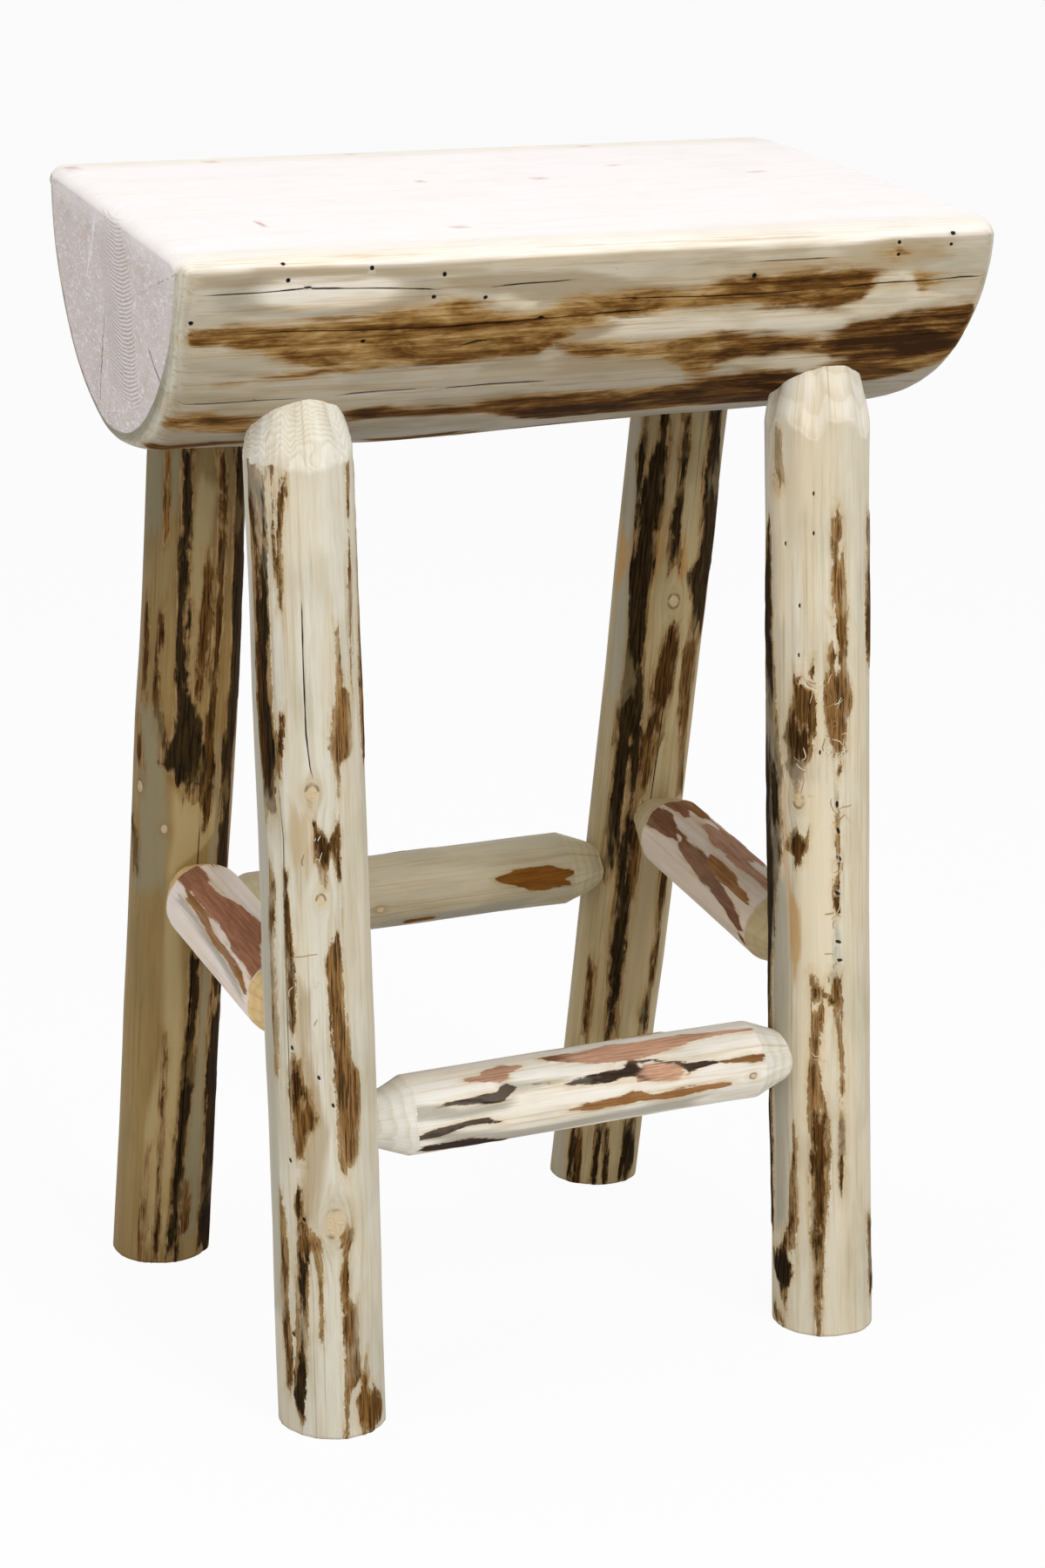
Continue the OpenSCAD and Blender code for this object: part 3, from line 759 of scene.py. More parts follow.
def wood(name, ring_mm, ring_dark, fibre, mottle, veins, rough=0.50, bump=0.6, saw=0.5, torn=0.55, worn=0.4, ragged=2.5,
         core=(1.0, 1.0), golden=1.0, lined=0.65, seat=False):
    """Peeled softwood with inner bark: reads the values that the pieces carry."""
    m = bpy.data.materials.new(name)
    tree = cleared(m)

    def attr(key, out="Fac"):
        return node(tree, "Attribute", out=out, attribute_name=key)

    def cloud(xyz, detail=3.0, roughness=0.55, twist=0.0):
        """Noise that follows the grain."""
        v = node(tree, "VectorMath", {0: g, 1: xyz}, operation="MULTIPLY")
        sets = {"Vector": v, "Scale": 1.0, "Detail": detail, "Roughness": roughness, "Distortion": twist}
        return node(tree, "TexNoise", sets, "Fac")

    def even(k, detail, roughness):
        return cloud((k, k, k), detail, roughness)

    def ramp(x, a, b, low=0.0, high=1.0):
        sets = {"Value": x, "From Min": a, "From Max": b, "To Min": low, "To Max": high}
        return node(tree, "MapRange", sets, "Result", interpolation_type="SMOOTHSTEP")

    def mix(f, a, b, how="MIX"):
        return node(tree, "Mix", {"Factor": f, "A": a, "B": b}, "Result", data_type="RGBA", blend_type=how)

    def times(f, a, b):
        """Colours a, darker by b where f is 1."""
        return mix(f, a, b, "MULTIPLY")

    g = attr("grain", "Vector")
    bark, knot, cut, end, tone = attr("bark"), attr("knot"), attr("cut"), attr("end"), attr("tone", "Color")
    hair = cloud((1.3, 1.3, 0.045), 4, 0.62)
    streak = cloud((0.30, 0.30, 0.010), 4, 0.6)
    patch = cloud((0.035, 0.035, 0.014), 3, 0.5)
    warm = cloud((0.07, 0.07, 0.006), 3, 0.55, 0.3)
    speck = cloud((1.6, 1.6, 0.9), 3, 0.7)
    hairs, streaks = hair - 0.5, streak - 0.5
    # yearly rings: pale early wood, a thin darker line of late wood at the end of each year
    within = calc("FRACT", attr("ring") / ring_mm + (patch - 0.5) * 1.1 + hairs * 0.22)
    late = ramp(within, 0.25, 0.86) * ramp(within, 0.90, 1.0, 1.0, 0.0) * ramp(patch, 0.2, 0.75, 0.45, 1.0)
    late = late * (calc("MAXIMUM", cut, end * saw) * 0.6 + 0.4)
    spots = 1.0 - attr("plain")
    vein = ramp(cloud((0.5, 0.5, 0.004), 3, 0.5), 0.60, 0.70) * ramp(warm, 0.3, 0.6)
    c = attr("base", "Color")
    for share, tint in (
        (late * ring_dark, (0.70, 0.60, 0.44)),
        (ramp(hair, 0.42, 0.78, 0.0, fibre), (0.62, 0.52, 0.38)),
        (spots * ramp(warm, 0.44, 0.62, 0.0, mottle), (0.90, 0.77, 0.56)),
        (spots * ramp(patch, 0.47, 0.64, 0.0, mottle), (0.70, 0.70, 0.64)),
        (spots * ramp(streak, 0.51, 0.66, 0.0, mottle), (0.72, 0.59, 0.40)),
        (spots * vein * veins, (0.34, 0.24, 0.13)),
        (spots * ramp(speck, 0.66, 0.80, 0.0, 0.25), (0.6, 0.5, 0.38)),
    ):
        c = times(share, c, tint)
    # stains under the surface
    fibres = streaks * 7.0 + hairs * 4.0
    c = mix(ramp(attr("veil") + fibres, -3.0, 3.0, 0.0, 0.72), c, attr("veil_tone", "Color"))
    # inner bark: the wood is tan beside it, and dark and pale fibres run through it
    bast = cloud((0.75, 0.75, 0.04), 4, 0.66, 0.4)
    fleck = cloud((0.16, 0.16, 0.06), 4, 0.6, 0.6)
    edge = bark + fibres * torn
    if ragged:
        edge = edge + (cloud((0.50, 0.50, 0.20), 4, 0.72, 0.8) - 0.5) * ragged
    c = times(ramp(edge, -4.5, 0.2, 0.0, 0.8) * ramp(fleck, 0.35, 0.62, 0.25, 1.0), c, (0.84, 0.72, 0.54))
    if seat:
        # on the seat the bast is worn thin: soft brown patches that darken in blots and streaks
        blot = cloud((0.055, 0.055, 0.014), 4, 0.6, 0.8) - 0.5
        fine = cloud((0.9, 0.9, 0.10), 4, 0.66, 0.5) - 0.5
        red = node(tree, "SeparateColor", {0: tone})
        dark = blot * 1.9 + (fleck - 0.5) * 0.7 + fine * 0.7 + streaks * 0.9
        dark = dark + (0.12 - red) * 6.5 + 0.14 + edge * 0.05
        b = node(tree, "ValToRGB", {0: dark})
        stops = b.socket.node.color_ramp.elements
        stops[0].color, stops[1].color = (*lin(176, 150, 104), 1), (*lin(50, 29, 8), 1)
        for place, shade in ((0.33, lin(146, 112, 64)), (0.66, lin(98, 65, 26))):
            stops.new(place).color = (*shade, 1)
        on = ramp(bark + (1.0 - cut * 0.6) * (fibres * torn + blot * 9.0), -1.8, 2.2)
    else:
        # on the round logs it is golden at its edge
        depth = edge * 0.7 + (fleck - 0.5) * 7.0 + (cloud((0.10, 0.10, 0.009), 4, 0.62, 0.8) - 0.5) * 10.0
        gold = mix(ramp(bast, 0.36, 0.62), (0.19, 0.105, 0.035), (0.35, 0.225, 0.10))
        dark, pale = (times(1.0, tone, tuple(k * q for q in shade)) for k, shade in zip(
            core, ((0.48, 0.44, 0.40), (1.45, 1.36, 1.26))))
        b = mix(ramp(depth, 0.2, 2.2, 1.0 - golden, 1.0), gold, mix(ramp(bast, 0.38, 0.60), dark, pale))
        b = times(ramp(hair, 0.54, 0.66, 0.0, lined), b, (0.42, 0.36, 0.32))
        wear = cloud((0.045, 0.045, 0.010), 4, 0.62, 0.5) + edge * -0.008
        on = ramp(edge, -0.45, 0.45) * ramp(wear, 0.50, 0.60, 1.0, 1.0 - worn)
    c = mix(on, c, b)
    # knots: a pale button, dark on one side, with fine rings round it
    c = times(ramp(knot, 0.7, 3.0, 0.40, 0.0), c, (0.86, 0.70, 0.46))
    turns = ramp(calc("SINE", knot * 14.0 + speck * 9.0), 0.0, 1.0)
    c = times(ramp(knot, 0.9, 2.4, 0.22, 0.0) * turns, c, (0.62, 0.48, 0.32))
    button = mix(ramp(speck, 0.4, 0.6), lin(206, 186, 148), lin(186, 160, 120))
    c = mix(ramp(knot, 0.75, 1.0, 0.75, 0.0), c, button)
    rim = ramp(knot, 0.60, 0.86) * ramp(knot, 0.95, 1.2, 1.0, 0.0) * ramp(even(0.14, 1, 0.5), 0.46, 0.60, 0.0, 0.75)
    c = mix(rim, c, lin(92, 66, 40))
    # drying cracks and beetles' holes, painted dark as shade down inside them
    c = mix(ramp(attr("crack"), 0.75, 1.5, 0.96, 0.0), c, lin(34, 22, 13))
    height = hair * 0.10 + late * 0.07 + on * bast * 0.42
    if seat:
        # the sawn ends are pebbled, and the yearly rings stand out below the heart of the log
        across, level, along = (node(tree, "SeparateXYZ", {0: g}, k) for k in range(3))
        down = level * -1.0
        off = across + 2.0 + down * 0.33
        count = down * 0.4 + off * off * 0.0018 + even(0.05, 2, 0.5) * 1.2 + even(0.5, 1, 0.5) * 0.4
        arc = calc("SINE", count * math.tau) * 0.5 + 0.5
        away = (abs(off) + (even(0.12, 2, 0.5) - 0.5) * 24.0) / ramp(down, 5.0, 40.0, 27.0, 43.0)
        band = ramp(away, 0.75, 1.15, 1.0, 0.0) * ramp(down, 104.0, 116.0, 1.0, 0.0) * ramp(end + cut * 0.6, 0.3, 0.9)
        pebble = ramp(cloud((0.13, 0.34, 0.30), 3, 0.62, 1.4), 0.47, 0.59) * end * (1.0 - band * 0.7)
        height = height + arc * band * 1.4 + pebble * 1.2
        c = times(band * ramp(arc, 0.05, 0.5, 0.62, 0.0), c, (0.60, 0.54, 0.53))
        c = mix(band * ramp(arc, 0.6, 0.95, 0.0, 0.7), c, lin(250, 245, 243))
        c = mix(ramp(pebble, 0.1, 0.9, 0.0, 0.6), c, lin(250, 244, 243))
        dull = end * ramp(cloud((0.22, 0.55, 0.30), 3, 0.6, 0.6), 0.40, 0.34, 0.0, 0.35)
        c = times(dull, c, (0.66, 0.60, 0.59))
        # a dark check and pale saw lines, then a check that runs in from the side: the checks are painted shade, dark
        # lines with no groove cut
        wander = (even(0.12, 3, 0.6) - 0.5) * 9.0
        left = end * ramp(along, -10.0, 10.0, 1.0, 0.0)
        white = (1.0, 0.98, 0.97)
        for middle, slope, thick, first, last, tint in (
            (-2.7, 0.276, 0.7, 64, 130, lin(70, 50, 44)), (36, 0.5, 1.4, 6, 50, white), (50, 0.3, 0.8, 24, 60, white),
        ):
            here = ramp(abs(across - middle + wander - down * slope), thick * 0.6, thick * 1.6, 1.0, 0.0)
            here = here * ramp(down, first, first + 9) * ramp(down, last - 9, last, 1.0, 0.0)
            c = mix(here * left * 0.85, c, tint)
        off = abs(67.0 - down + (across + 103.0) * -0.448 + wander * 0.4)
        here = ramp(off, 0.4, 1.1, 1.0, 0.0) * ramp(across, -106.0, -99.0, 1.0, 0.0)
        c = mix(here * left * 0.9, c, lin(88, 66, 56))
    bumps = node(tree, "Bump", {"Strength": bump, "Distance": 0.001, "Height": height})
    surface = node(tree, "BsdfPrincipled", {
        "Base Color": c, "Roughness": ramp(on, 0.0, 1.0, rough, 0.80) + hairs * 0.22,
        "Specular IOR Level": ramp(on, 0.0, 1.0, 0.30, 0.05), "Normal": bumps})
    node(tree, "OutputMaterial", {"Surface": surface})
    return m


SEAT_WOOD = wood(
    "seat_wood", 2.6, 0.45, 0.30, 0.5, 0.25, rough=0.52, bump=0.55, saw=0.3, torn=0.8, ragged=0.0, seat=True)
LEG_WOOD = wood("leg_wood", 1.9, 0.40, 0.22, 0.34, 0.4, ragged=6.0, core=(0.55, 0.85))
# the back legs' material: their wood colours in LOOKS hold painted shade as well as their own duller tone
SHADED_BACK_LEG_WOOD = wood("back_leg_wood_painted_shade", 1.9, 0.40, 0.26, 0.42, 0.6, core=(0.6, 0.95))
STRETCHER_WOOD = wood(
    "stretcher_wood", 1.7, 0.36, 0.24, 0.32, 0.3, core=(1.6, 0.78), golden=0.0, lined=0.3, worn=0.1)
RAIL_BARK = {"k": lin(60, 48, 40), "d": lin(132, 94, 70), "b": lin(146, 106, 66), "r": lin(188, 150, 126)}
BACK_RAIL_BARK = {"k": lin(60, 40, 16), "d": lin(96, 58, 20), "b": lin(126, 82, 30), "r": lin(150, 104, 60)}


def holes(size, turn, depth, places):
    """Beetles' holes of one size."""
    return [(a, b, size, turn, depth, None) for a, b in places]


# Each log's own look. A knot is a place along, a place round, a radius and a height, a crack a place round, a path,
# a half width and a depth, and loose fibres a place along, a place round, a number and a spread
PLAIN = dict(
    tones=BARK, wider=0.0, shade=0.0, lumps=0.7, bow=0.8, relief=0.0, rough=0.9, knife=0.02, turns=1.9, neck=0.85,
    gap=1.7, knots=[], cracks=[], pits=[], fibres=[])
LOOKS = {
    "leg_front_left": dict(
        seed=101, wider=1.2, wood=lin(208, 202, 184), cut_wood=lin(230, 227, 214), gap=1.45, lumps=0.9, bow=1.2,
        relief=0.55, rough=1.8,
        knots=[(425, -109, 4.2, 1.3), (356, -104, 3.2, 0.9), (143, -100, 7.0, 0.8), (210, 60, 4.5, 1.2)],
        cracks=[(-111, [548, -112, 505, -113, 462, -113, 440, -110, 430, -106], 0.42, 2.6),
                (-145, [428, -146, 395, -143, 345, -145, 288, -145, 231, -146, 203, -146], 0.34, 2.2),
                (100, [90, 98, 250, 101, 420, 97, 560, 99], 0.5, 3.4)],
        pits=holes((1.6, 0.8), 0.4, 1.3, (
            (260, -140), (241, -117), (222, -102), (185, -147), (147, -133), (68, -150))),
        fibres=[(385, -118, 5, 10), (300, -120, 4, 12)], spare=17),
    "leg_front_right": dict(
        seed=202, wider=0.7, wood=lin(210, 201, 178), cut_wood=lin(230, 224, 208), gap=1.45, lumps=0.9, bow=-1.0,
        knife=0.045, turns=0.5,
        knots=[(381, -139, 4.0, 1.2), (300, 80, 5.0, 1.4), (590, -168, 4.5, 0.6)],
        cracks=[(70, [40, 66, 200, 70, 390, 74, 500, 71], 0.5, 3.2)],
        pits=holes((1.5, 0.6), 0.0, 1.2, (
            (586, -121), (560, -121), (552, -154), (512, -137), (479, -138), (414, -115)))
        + [(a, -96 + k % 3, (2.4, 1.0), 0.3 * k, 1.4, None) for k, a in enumerate((378, 360, 341, 317, 283, 270))],
        fibres=[(440, -97, 9, 12), (414, -96, 9, 8), (460, -130, 7, 7), (396, -134, 6, 7), (374, -94, 6, 7),
                (338, -95, 5, 7), (300, -96, 5, 9), (262, -99, 7, 7), (215, -112, 6, 12)], spare=18),
    # The back legs' wood colours are darker and more olive than the front legs': partly their own duller tone, partly
    # painted shade for standing under and behind the seat
    "leg_back_left": dict(
        seed=303, wider=3.0, shade=0.3, wood=lin(146, 122, 72), cut_wood=lin(190, 172, 130), lumps=1.0, bow=1.4,
        knots=[(350, -165, 3.6, 1.0), (324, -129, 2.6, 0.6), (470, 100, 4.5, 1.2)],
        cracks=[(-90, [60, -92, 180, -89, 330, -87], 0.4, 2.6), (40, [200, 42, 380, 38, 560, 41], 0.5, 3.0)],
        spare=22),
    "leg_back_right": dict(
        seed=404, wider=3.4, shade=0.2, wood=lin(182, 165, 124), cut_wood=lin(205, 192, 162), lumps=1.0, bow=1.6,
        knots=[(457, -99, 4.2, 1.2), (250, 30, 4.5, 1.3)],
        cracks=[(-98, [395, -97, 340, -98, 280, -101], 0.34, 2.0), (60, [60, 62, 220, 60, 390, 58], 0.5, 3.0)],
        spare=22),
    "stretcher_front": dict(
        seed=505, tones=RAIL_BARK, turns=0.5, neck=1.05, wood=lin(236, 231, 220), cut_wood=lin(230, 227, 216), gap=1.6,
        bow=1.0, knots=[(299, 92, 2.3, 0.5), (210, -90, 4.0, 1.0)],
        cracks=[(200, [90, 199, 180, 202, 280, 200], 0.4, 2.4)], spare=13),
    "stretcher_back": dict(
        seed=606, tones=BACK_RAIL_BARK, turns=0.6, wood=lin(180, 170, 144), cut_wood=lin(196, 186, 154), gap=1.8,
        lumps=0.8, bow=1.6, knots=[(143, 99, 2.2, 0.5)],
        cracks=[(250, [80, 249, 180, 251, 270, 250], 0.4, 2.4)], spare=9),
    "stretcher_left": dict(
        seed=707, tones=dict(RAIL_BARK, r=lin(160, 114, 88)), turns=0.6, wood=lin(238, 226, 216),
        cut_wood=lin(228, 198, 140), knots=[(120, -80, 3.2, 0.8)], spare=11),
    "stretcher_right": dict(
        seed=808, tones=RAIL_BARK, turns=0.6, wood=lin(226, 212, 196), cut_wood=lin(200, 182, 140),
        knots=[(150, 190, 3.2, 0.8)], spare=11),
}


def look_of(name, r, hidden, along, tones):
    """A log's look, its strips read from the photograph and made up where it doesn't look."""
    look = dict(PLAIN, **LOOKS[name], r=r)
    found, per_mm = strips(STRIPS[name]), 1 / (r * math.pi / 180)
    for tone, rows in found:
        if tone in BARK:
            rows[:, 1:] += np.array([-1, 1]) * look["wider"]
    look["bark"] = [q for q in found if q[0] in BARK]
    look["stain"] = [q for q in found if q[0] in STAIN]
    look["bark"] += wild(look["seed"], look["spare"], along, hidden, per_mm, tones)
    look["stain"] += wild(look["seed"] + 1, 6, along, hidden, per_mm, "tgto", width=(2, 7))
    return look


def legs():
    # the cone on top of a leg: how long it is and how much it narrows, in mm
    cone_long, cone_in = 38, 8.75
    for name, (foot, top, foot_r) in LEGS.items():
        foot, back = np.array(foot, float), "back" in name
        way = unit(top - foot)
        look = look_of(name, (foot_r + LEG_TOP_R) / 2, (-12, 146), (30, 600), "kkkddb" if back else "kdbbrrd")
        shoulder, tip = SHOULDER_Z / way[2], TIP_Z / way[2]
        s = np.concatenate([
            np.linspace(0, shoulder - 12, round((shoulder - 12) / 2)), np.arange(shoulder - 11, shoulder + 44, 0.8),
            np.linspace(shoulder + 45, tip - 1.5, 8), [tip - 0.6, tip]])
        t = (s - shoulder) / cone_long
        cone = LEG_TOP_R - cone_in * np.where(t < 0, t * 1.1, np.clip(t, 0, 1) ** 1.3)
        cone = cone - 0.9 * np.maximum(s - tip + 2, 0)
        log(name, look, foot, way, np.array([1, 0, 0]), s, foot_r + (LEG_TOP_R - foot_r) * s / shoulder, cone,
            SHADED_BACK_LEG_WOOD if back else LEG_WOOD)


def middle_of(leg, z):
    """The point of a leg's middle line at a height."""
    foot, top = np.array(LEGS[leg][0], float), np.array(LEGS[leg][1], float)
    return foot + (top - foot) * z / TENON_Z


def rails():
    # places from the middle line of a leg: the tenon's tip, the end of its round and that of its cone
    start, thin, full, tenon_r = 9.0, 30.75, 56.75, 16
    for name, (leg_a, za, leg_b, zb, r) in RAILS.items():
        a, b = middle_of(leg_a, za), middle_of(leg_b, zb)
        long = np.linalg.norm(b - a)
        hidden = (165, 338) if name in ("stretcher_front", "stretcher_back") else (146, 318)
        look = look_of(name, r, hidden, (50, long - 50), "bbrd" if name == "stretcher_back" else "drbbr")
        s = np.concatenate([
            [start, start + 0.6], np.arange(start + 2, thin - 6, 2.2), np.arange(thin - 5, full + 9, 0.8),
            np.arange(full + 10, long - full - 9, 1.9), np.arange(long - full - 8, long - thin + 6, 0.8),
            np.arange(long - thin + 7, long - start - 1, 2.2), [long - start - 0.6, long - start]])
        t = np.minimum(s, long - s)
        neck = np.clip((t - thin) / (full - thin), 0, 1) ** look["neck"]
        cone = tenon_r + (r - tenon_r) * np.where(t > full, 1 + (t - full) / 26, neck)
        cone = cone - 0.9 * np.maximum(start + 1.5 - t, 0)
        log(name, look, a, unit(b - a), np.array([0, 0, 1]), s, np.full(s.shape, r), cone, STRETCHER_WOOD)


# The seat's cracks, as those of the logs but in mm round it. Each place round has its reach into the net beside it
SEAT_REACH = {22: 7, 37.5: 6, 48: 5.5, 64: 7, 81: 7, 106: 7, 140: 7}
SEAT_CRACKS = [
    (22, [-273, 21, -235, 21, -208, 20, -164, 22, -119, 25], 0.40, 2.4),
    (22, [-94, 25, -69, 24, -47, 24, -29, 23], 0.35, 2.0),
    (22, [81, 18, 104, 18, 128, 18, 141, 18], 0.30, 1.6),
    (48, [-252, 47, -210, 47, -166, 49, -121, 50, -88, 49, -54, 48, -20, 47, 22, 46], 0.55, 4.0),
    (37.5, [141, 38, 168, 37, 205, 37, 230, 36, 250, 36], 0.60, 4.0),
    (37.5, [-10, 37, 25, 38, 60, 39, 96, 39, 126, 38], 0.40, 2.6),
    (81, [207, 81, 226, 81, 246, 81], 0.7, 2.0),
    (140, [195, 140, 221, 141, 238, 143, 252, 141], 0.9, 3.6),
    (106, [-274, 103, -266, 107, -254, 108, -240, 108, -218, 107, -191, 107], 0.9, 3.0),
    (106, [-174, 106, -163, 105, -141, 104, -113, 104], 0.95, 3.6),
    (106, [-107, 105, -73, 104, -31, 105], 0.95, 2.6),
    (64, [-106, 67, -101, 64, -92, 62, -81, 62], 1.3, 2.4),
]
# Beetles' holes in the front with their radii, and dark marks on the flat top as their two ends
SEAT_HOLES = [
    (-221.9, 1.3, 1.35), (-219.2, 15, 1.35), (-206.8, 21.1, 2.0), (-167, 9.7, 1.35), (-120.9, 14.7, 1.35),
    (-126.6, 27.7, 1.35), (-93.2, 30.8, 1.35), (-54.7, 46.6, 1.5), (-167.1, 56.7, 1.35), (84.3, 28.3, 1.5),
    (220.7, 4.8, 1.6), (-276.6, 38.1, 1.35), (182.8, 10.6, 1.2), (182.8, 18, 1.1), (219.5, 13.4, 1.1),
]
TOP_MARKS = [
    (-198, -69, -199, -85), (-46, 53, -41, 52), (34, 44, 41, 42), (186, 35, 197, 32), (-247, 157, -240, 166),
    (-90, -118, -81, -117), (-49, 176, -43, 175), (104, 81, 112, 82), (120, 166, 128, 166), (-151, 162, -144, 163),
]


def oval(a, half, deep):
    """The half log's plain cross-section."""
    return np.sign(np.cos(a)) * np.abs(np.cos(a)) ** (2 / FULL) * half, -np.abs(np.sin(a)) ** (2 / FULL) * deep


def growth(y, z):
    """Rings of growth round a middle near the flat face."""
    return 165 * (np.abs((y - 7) / HALF_W) ** FULL + np.abs((z + 4) / DEPTH) ** FULL) ** (1 / FULL)


def lean(x):
    """How far the log's cross-section leans out of square at x."""
    return np.interp(x, (-HALF_L, HALF_L), SKEWS)


def seat():
    seed, edge_r, front_r, sanded_r = 909, 9.0, 21, 10
    # the cross-section, from the front top edge round the underside to the back one, then over the flat top
    a = np.radians(np.linspace(180, 0, 1441))
    cy, cz = oval(a, HALF_W - edge_r, DEPTH - 2 * edge_r)
    n = np.stack([np.gradient(cz), -np.gradient(cy)], 1)
    n /= np.hypot(*n.T)[:, None]
    n[a > 3.14], n[a < 0.001] = (-1, 0), (1, 0)
    under = np.stack([cy, cz - edge_r], 1) + edge_r * n
    corner = np.radians(np.linspace(0, 90, 24))[1:]
    back = np.stack([HALF_W - edge_r + edge_r * np.cos(corner) ** 0.55, edge_r * (np.sin(corner) ** 0.55 - 1)], 1)
    front = np.stack([front_r - HALF_W - front_r * np.cos(corner), edge_r * (np.sin(corner) - 1)], 1)[::-1]
    top = np.stack([np.linspace(HALF_W - edge_r, front_r - HALF_W, 400)[1:-1], np.zeros(398)], 1)
    loop = np.concatenate([front, under, back, top])
    along = np.concatenate([[0], np.cumsum(np.hypot(*np.diff(np.concatenate([loop, loop[:1]]), axis=0).T))])
    around, along = along[-1], along[:-1]
    # the arc that the strips are given in: mm round the plain oval from the front top edge
    py, pz = oval(a, HALF_W, DEPTH)
    parc = np.concatenate([[0], np.cumsum(np.hypot(np.diff(py), np.diff(pz)))])
    arc_of = parc[np.argmin((loop[:, None, 0] - py[None]) ** 2 + (loop[:, None, 1] - pz[None]) ** 2, 1)]
    arc_of[-len(top):] = parc[-1] + (HALF_W - top[:, 0])
    arc_of[:len(front)] = np.linspace(-21, 8.5, len(front))
    # the net starts in the middle of the flat top
    half = len(top) // 2 + 1
    along_arc = np.concatenate([along[-half:] - around, along[:-half]])
    arc_of = np.concatenate([arc_of[-half:] - parc[-1] - 2 * HALF_W, arc_of[:-half]])
    net_gap, top_gap = 2.25, 7.0
    u0 = lines(0, around, net_gap, [np.interp(c, arc_of, along_arc) for c in SEAT_REACH], 1.0)
    first_top, last_top = along[-len(top)], along[-1]
    u0 = u0[(u0 <= first_top) | (u0 >= last_top)]
    u0 = np.concatenate([u0, np.arange(first_top + 2, last_top, top_gap)])
    u0 = np.concatenate([u0[u0 > along[-half]] - around, u0[u0 <= along[-half]]])

    def on_loop(u, i):
        return np.interp(u.ravel(), along, loop[:, i], period=around).reshape(u.shape)

    d = np.stack([on_loop((u0 + 0.6) % around, i) - on_loop((u0 - 0.6) % around, i) for i in (0, 1)])
    d /= np.hypot(*d)
    # rings along the log, closer where the ends are worn round
    e = np.concatenate([np.linspace(0, 0.9, 7), np.arange(1.6, 26, 1.5)])
    x = np.concatenate([-HALF_L + e, np.arange(-HALF_L + 27, HALF_L - 26.5, 3.0), (HALF_L - e)[::-1]])

    def seat_rows(rows):
        """Places read at their own x on the leaning ends become places along the log."""
        rows = np.array(rows, float)
        y = np.interp((rows[:, 1] + rows[:, 2]) / 2, parc, py)
        out = rows[:, 0] + 4
        for _ in range(4):
            out = rows[:, 0] + 4 - y * lean(out)
        return np.stack([out, rows[:, 1], rows[:, 2]], 1)

    def run_on(rows):
        """A strip that comes near an end of the log runs on over its worn edge."""
        rows = seat_rows(rows)
        rows[:, 0] += 30 * np.sign(rows[:, 0]) * (np.abs(rows[:, 0]) > 244)
        return rows

    found, span = strips(STRIPS["seat_half_log"]), (-235, 235)
    bark_strips = [(q, run_on(r)) for q, r in found if q in BARK]
    bark_strips += wild(31, 34, span, (205, 500), 1.0, "kddbbr", (40, 300), (2, 13))
    stain_strips = [(q, seat_rows(r)) for q, r in found if q in STAIN]
    stain_strips += wild(32, 16, span, (195, 500), 1.0, "tttg", (60, 260), (4, 14))
    cracks = []
    for c0, path, width, depth in SEAT_CRACKS:
        path = track(path)
        cracks.append((c0, track(seat_rows(path[:, [0, 1, 1]])[:, :2]), width, depth))
    u = np.repeat(u0[None], len(x), 0)
    level = np.interp(u0, along_arc, arc_of)
    place = np.stack([np.repeat(level[None], len(x), 0), 0 * u, np.repeat(x[:, None], len(u0), 1)], -1)
    for c0, reach in SEAT_REACH.items():
        path = track(np.concatenate([q[1] for q in cracks if q[0] == c0]))
        inside = step(x, path[0, 0] - 30, path[0, 0]) * (1 - step(x, path[-1, 0], path[-1, 0] + 30))
        here = np.interp(c0, arc_of, along_arc)
        t = np.clip((u0 - here)[None] / (reach * 1.6), -1, 1)
        shift = (np.interp(np.interp(x, *path.T), arc_of, along_arc) - here) * inside
        u = u + shift[:, None] * (1 - t * t) ** 2
    u = np.maximum.accumulate(u, 1)
    arc = np.interp(u, along_arc, arc_of)
    back_arc = 511
    from_edge = np.minimum(arc, back_arc - arc)
    on_side = (arc > -4) & (arc < back_arc)
    deep, crack = 0 * u, np.full(u.shape, float(FAR))
    for c0, path, width, depth in cracks:
        off = arc - np.interp(x, *path.T)[:, None]
        groove_deep, far = groove(x, off, path, width, depth, seed + round(c0))
        deep, crack = np.maximum(deep, groove_deep), np.minimum(crack, far)
    y, z = on_loop(u, 0), on_loop(u, 1)
    # worn ends: rounder towards the underside
    gone = np.minimum(x + HALF_L, HALF_L - x)[:, None]
    crisp = 1 - step(from_edge, -24, 3)
    at_left = (x < 0)[:, None]
    rx = 12 + 9 * step(np.abs(arc - 255), 245, 75) * (1 - crisp) + np.where(at_left, 4, -5) * crisp
    q = np.clip(1 - gone / rx, 0, 1)
    inset = (11 - np.where(at_left, 4.5, 7.5) * crisp) * (1 - np.sqrt(np.maximum(1 - q * q, 0)))
    flat = np.stack([y, z, place[..., 2]], -1)
    is_top = step(z, -3.5, -0.4) * (np.abs(y) < HALF_W - 4)
    bark, tone = cover(bark_strips, x, arc, 1.0, SEAT_BARK, False)
    pale, _ = cover([("b", seat_rows(q)) for _, q in strips(STRIPS["pale"])], x, arc, 1.0, BARK, False)
    rag = layers(np.stack([arc, 0 * arc, flat[..., 2]], -1), seed, (2.2, (5.5, 9, 36), 0), (1.3, (2.8, 9, 14), 1),
                 (0.6, (12, 9, 7), 2))
    bark = np.minimum(bark, -pale + 0.6)
    bark = np.where(bark > -8.5, bark + rag * step(bark, -6, 1) - 0.2, bark)
    bark = np.where(on_side, bark, NO_BARK)
    # it thins out towards the worn ends
    bark = bark - 12 * (1 - step(gone + 2.5 * noise(place, (16, 9, 30), seed + 42), 1.5, 11))
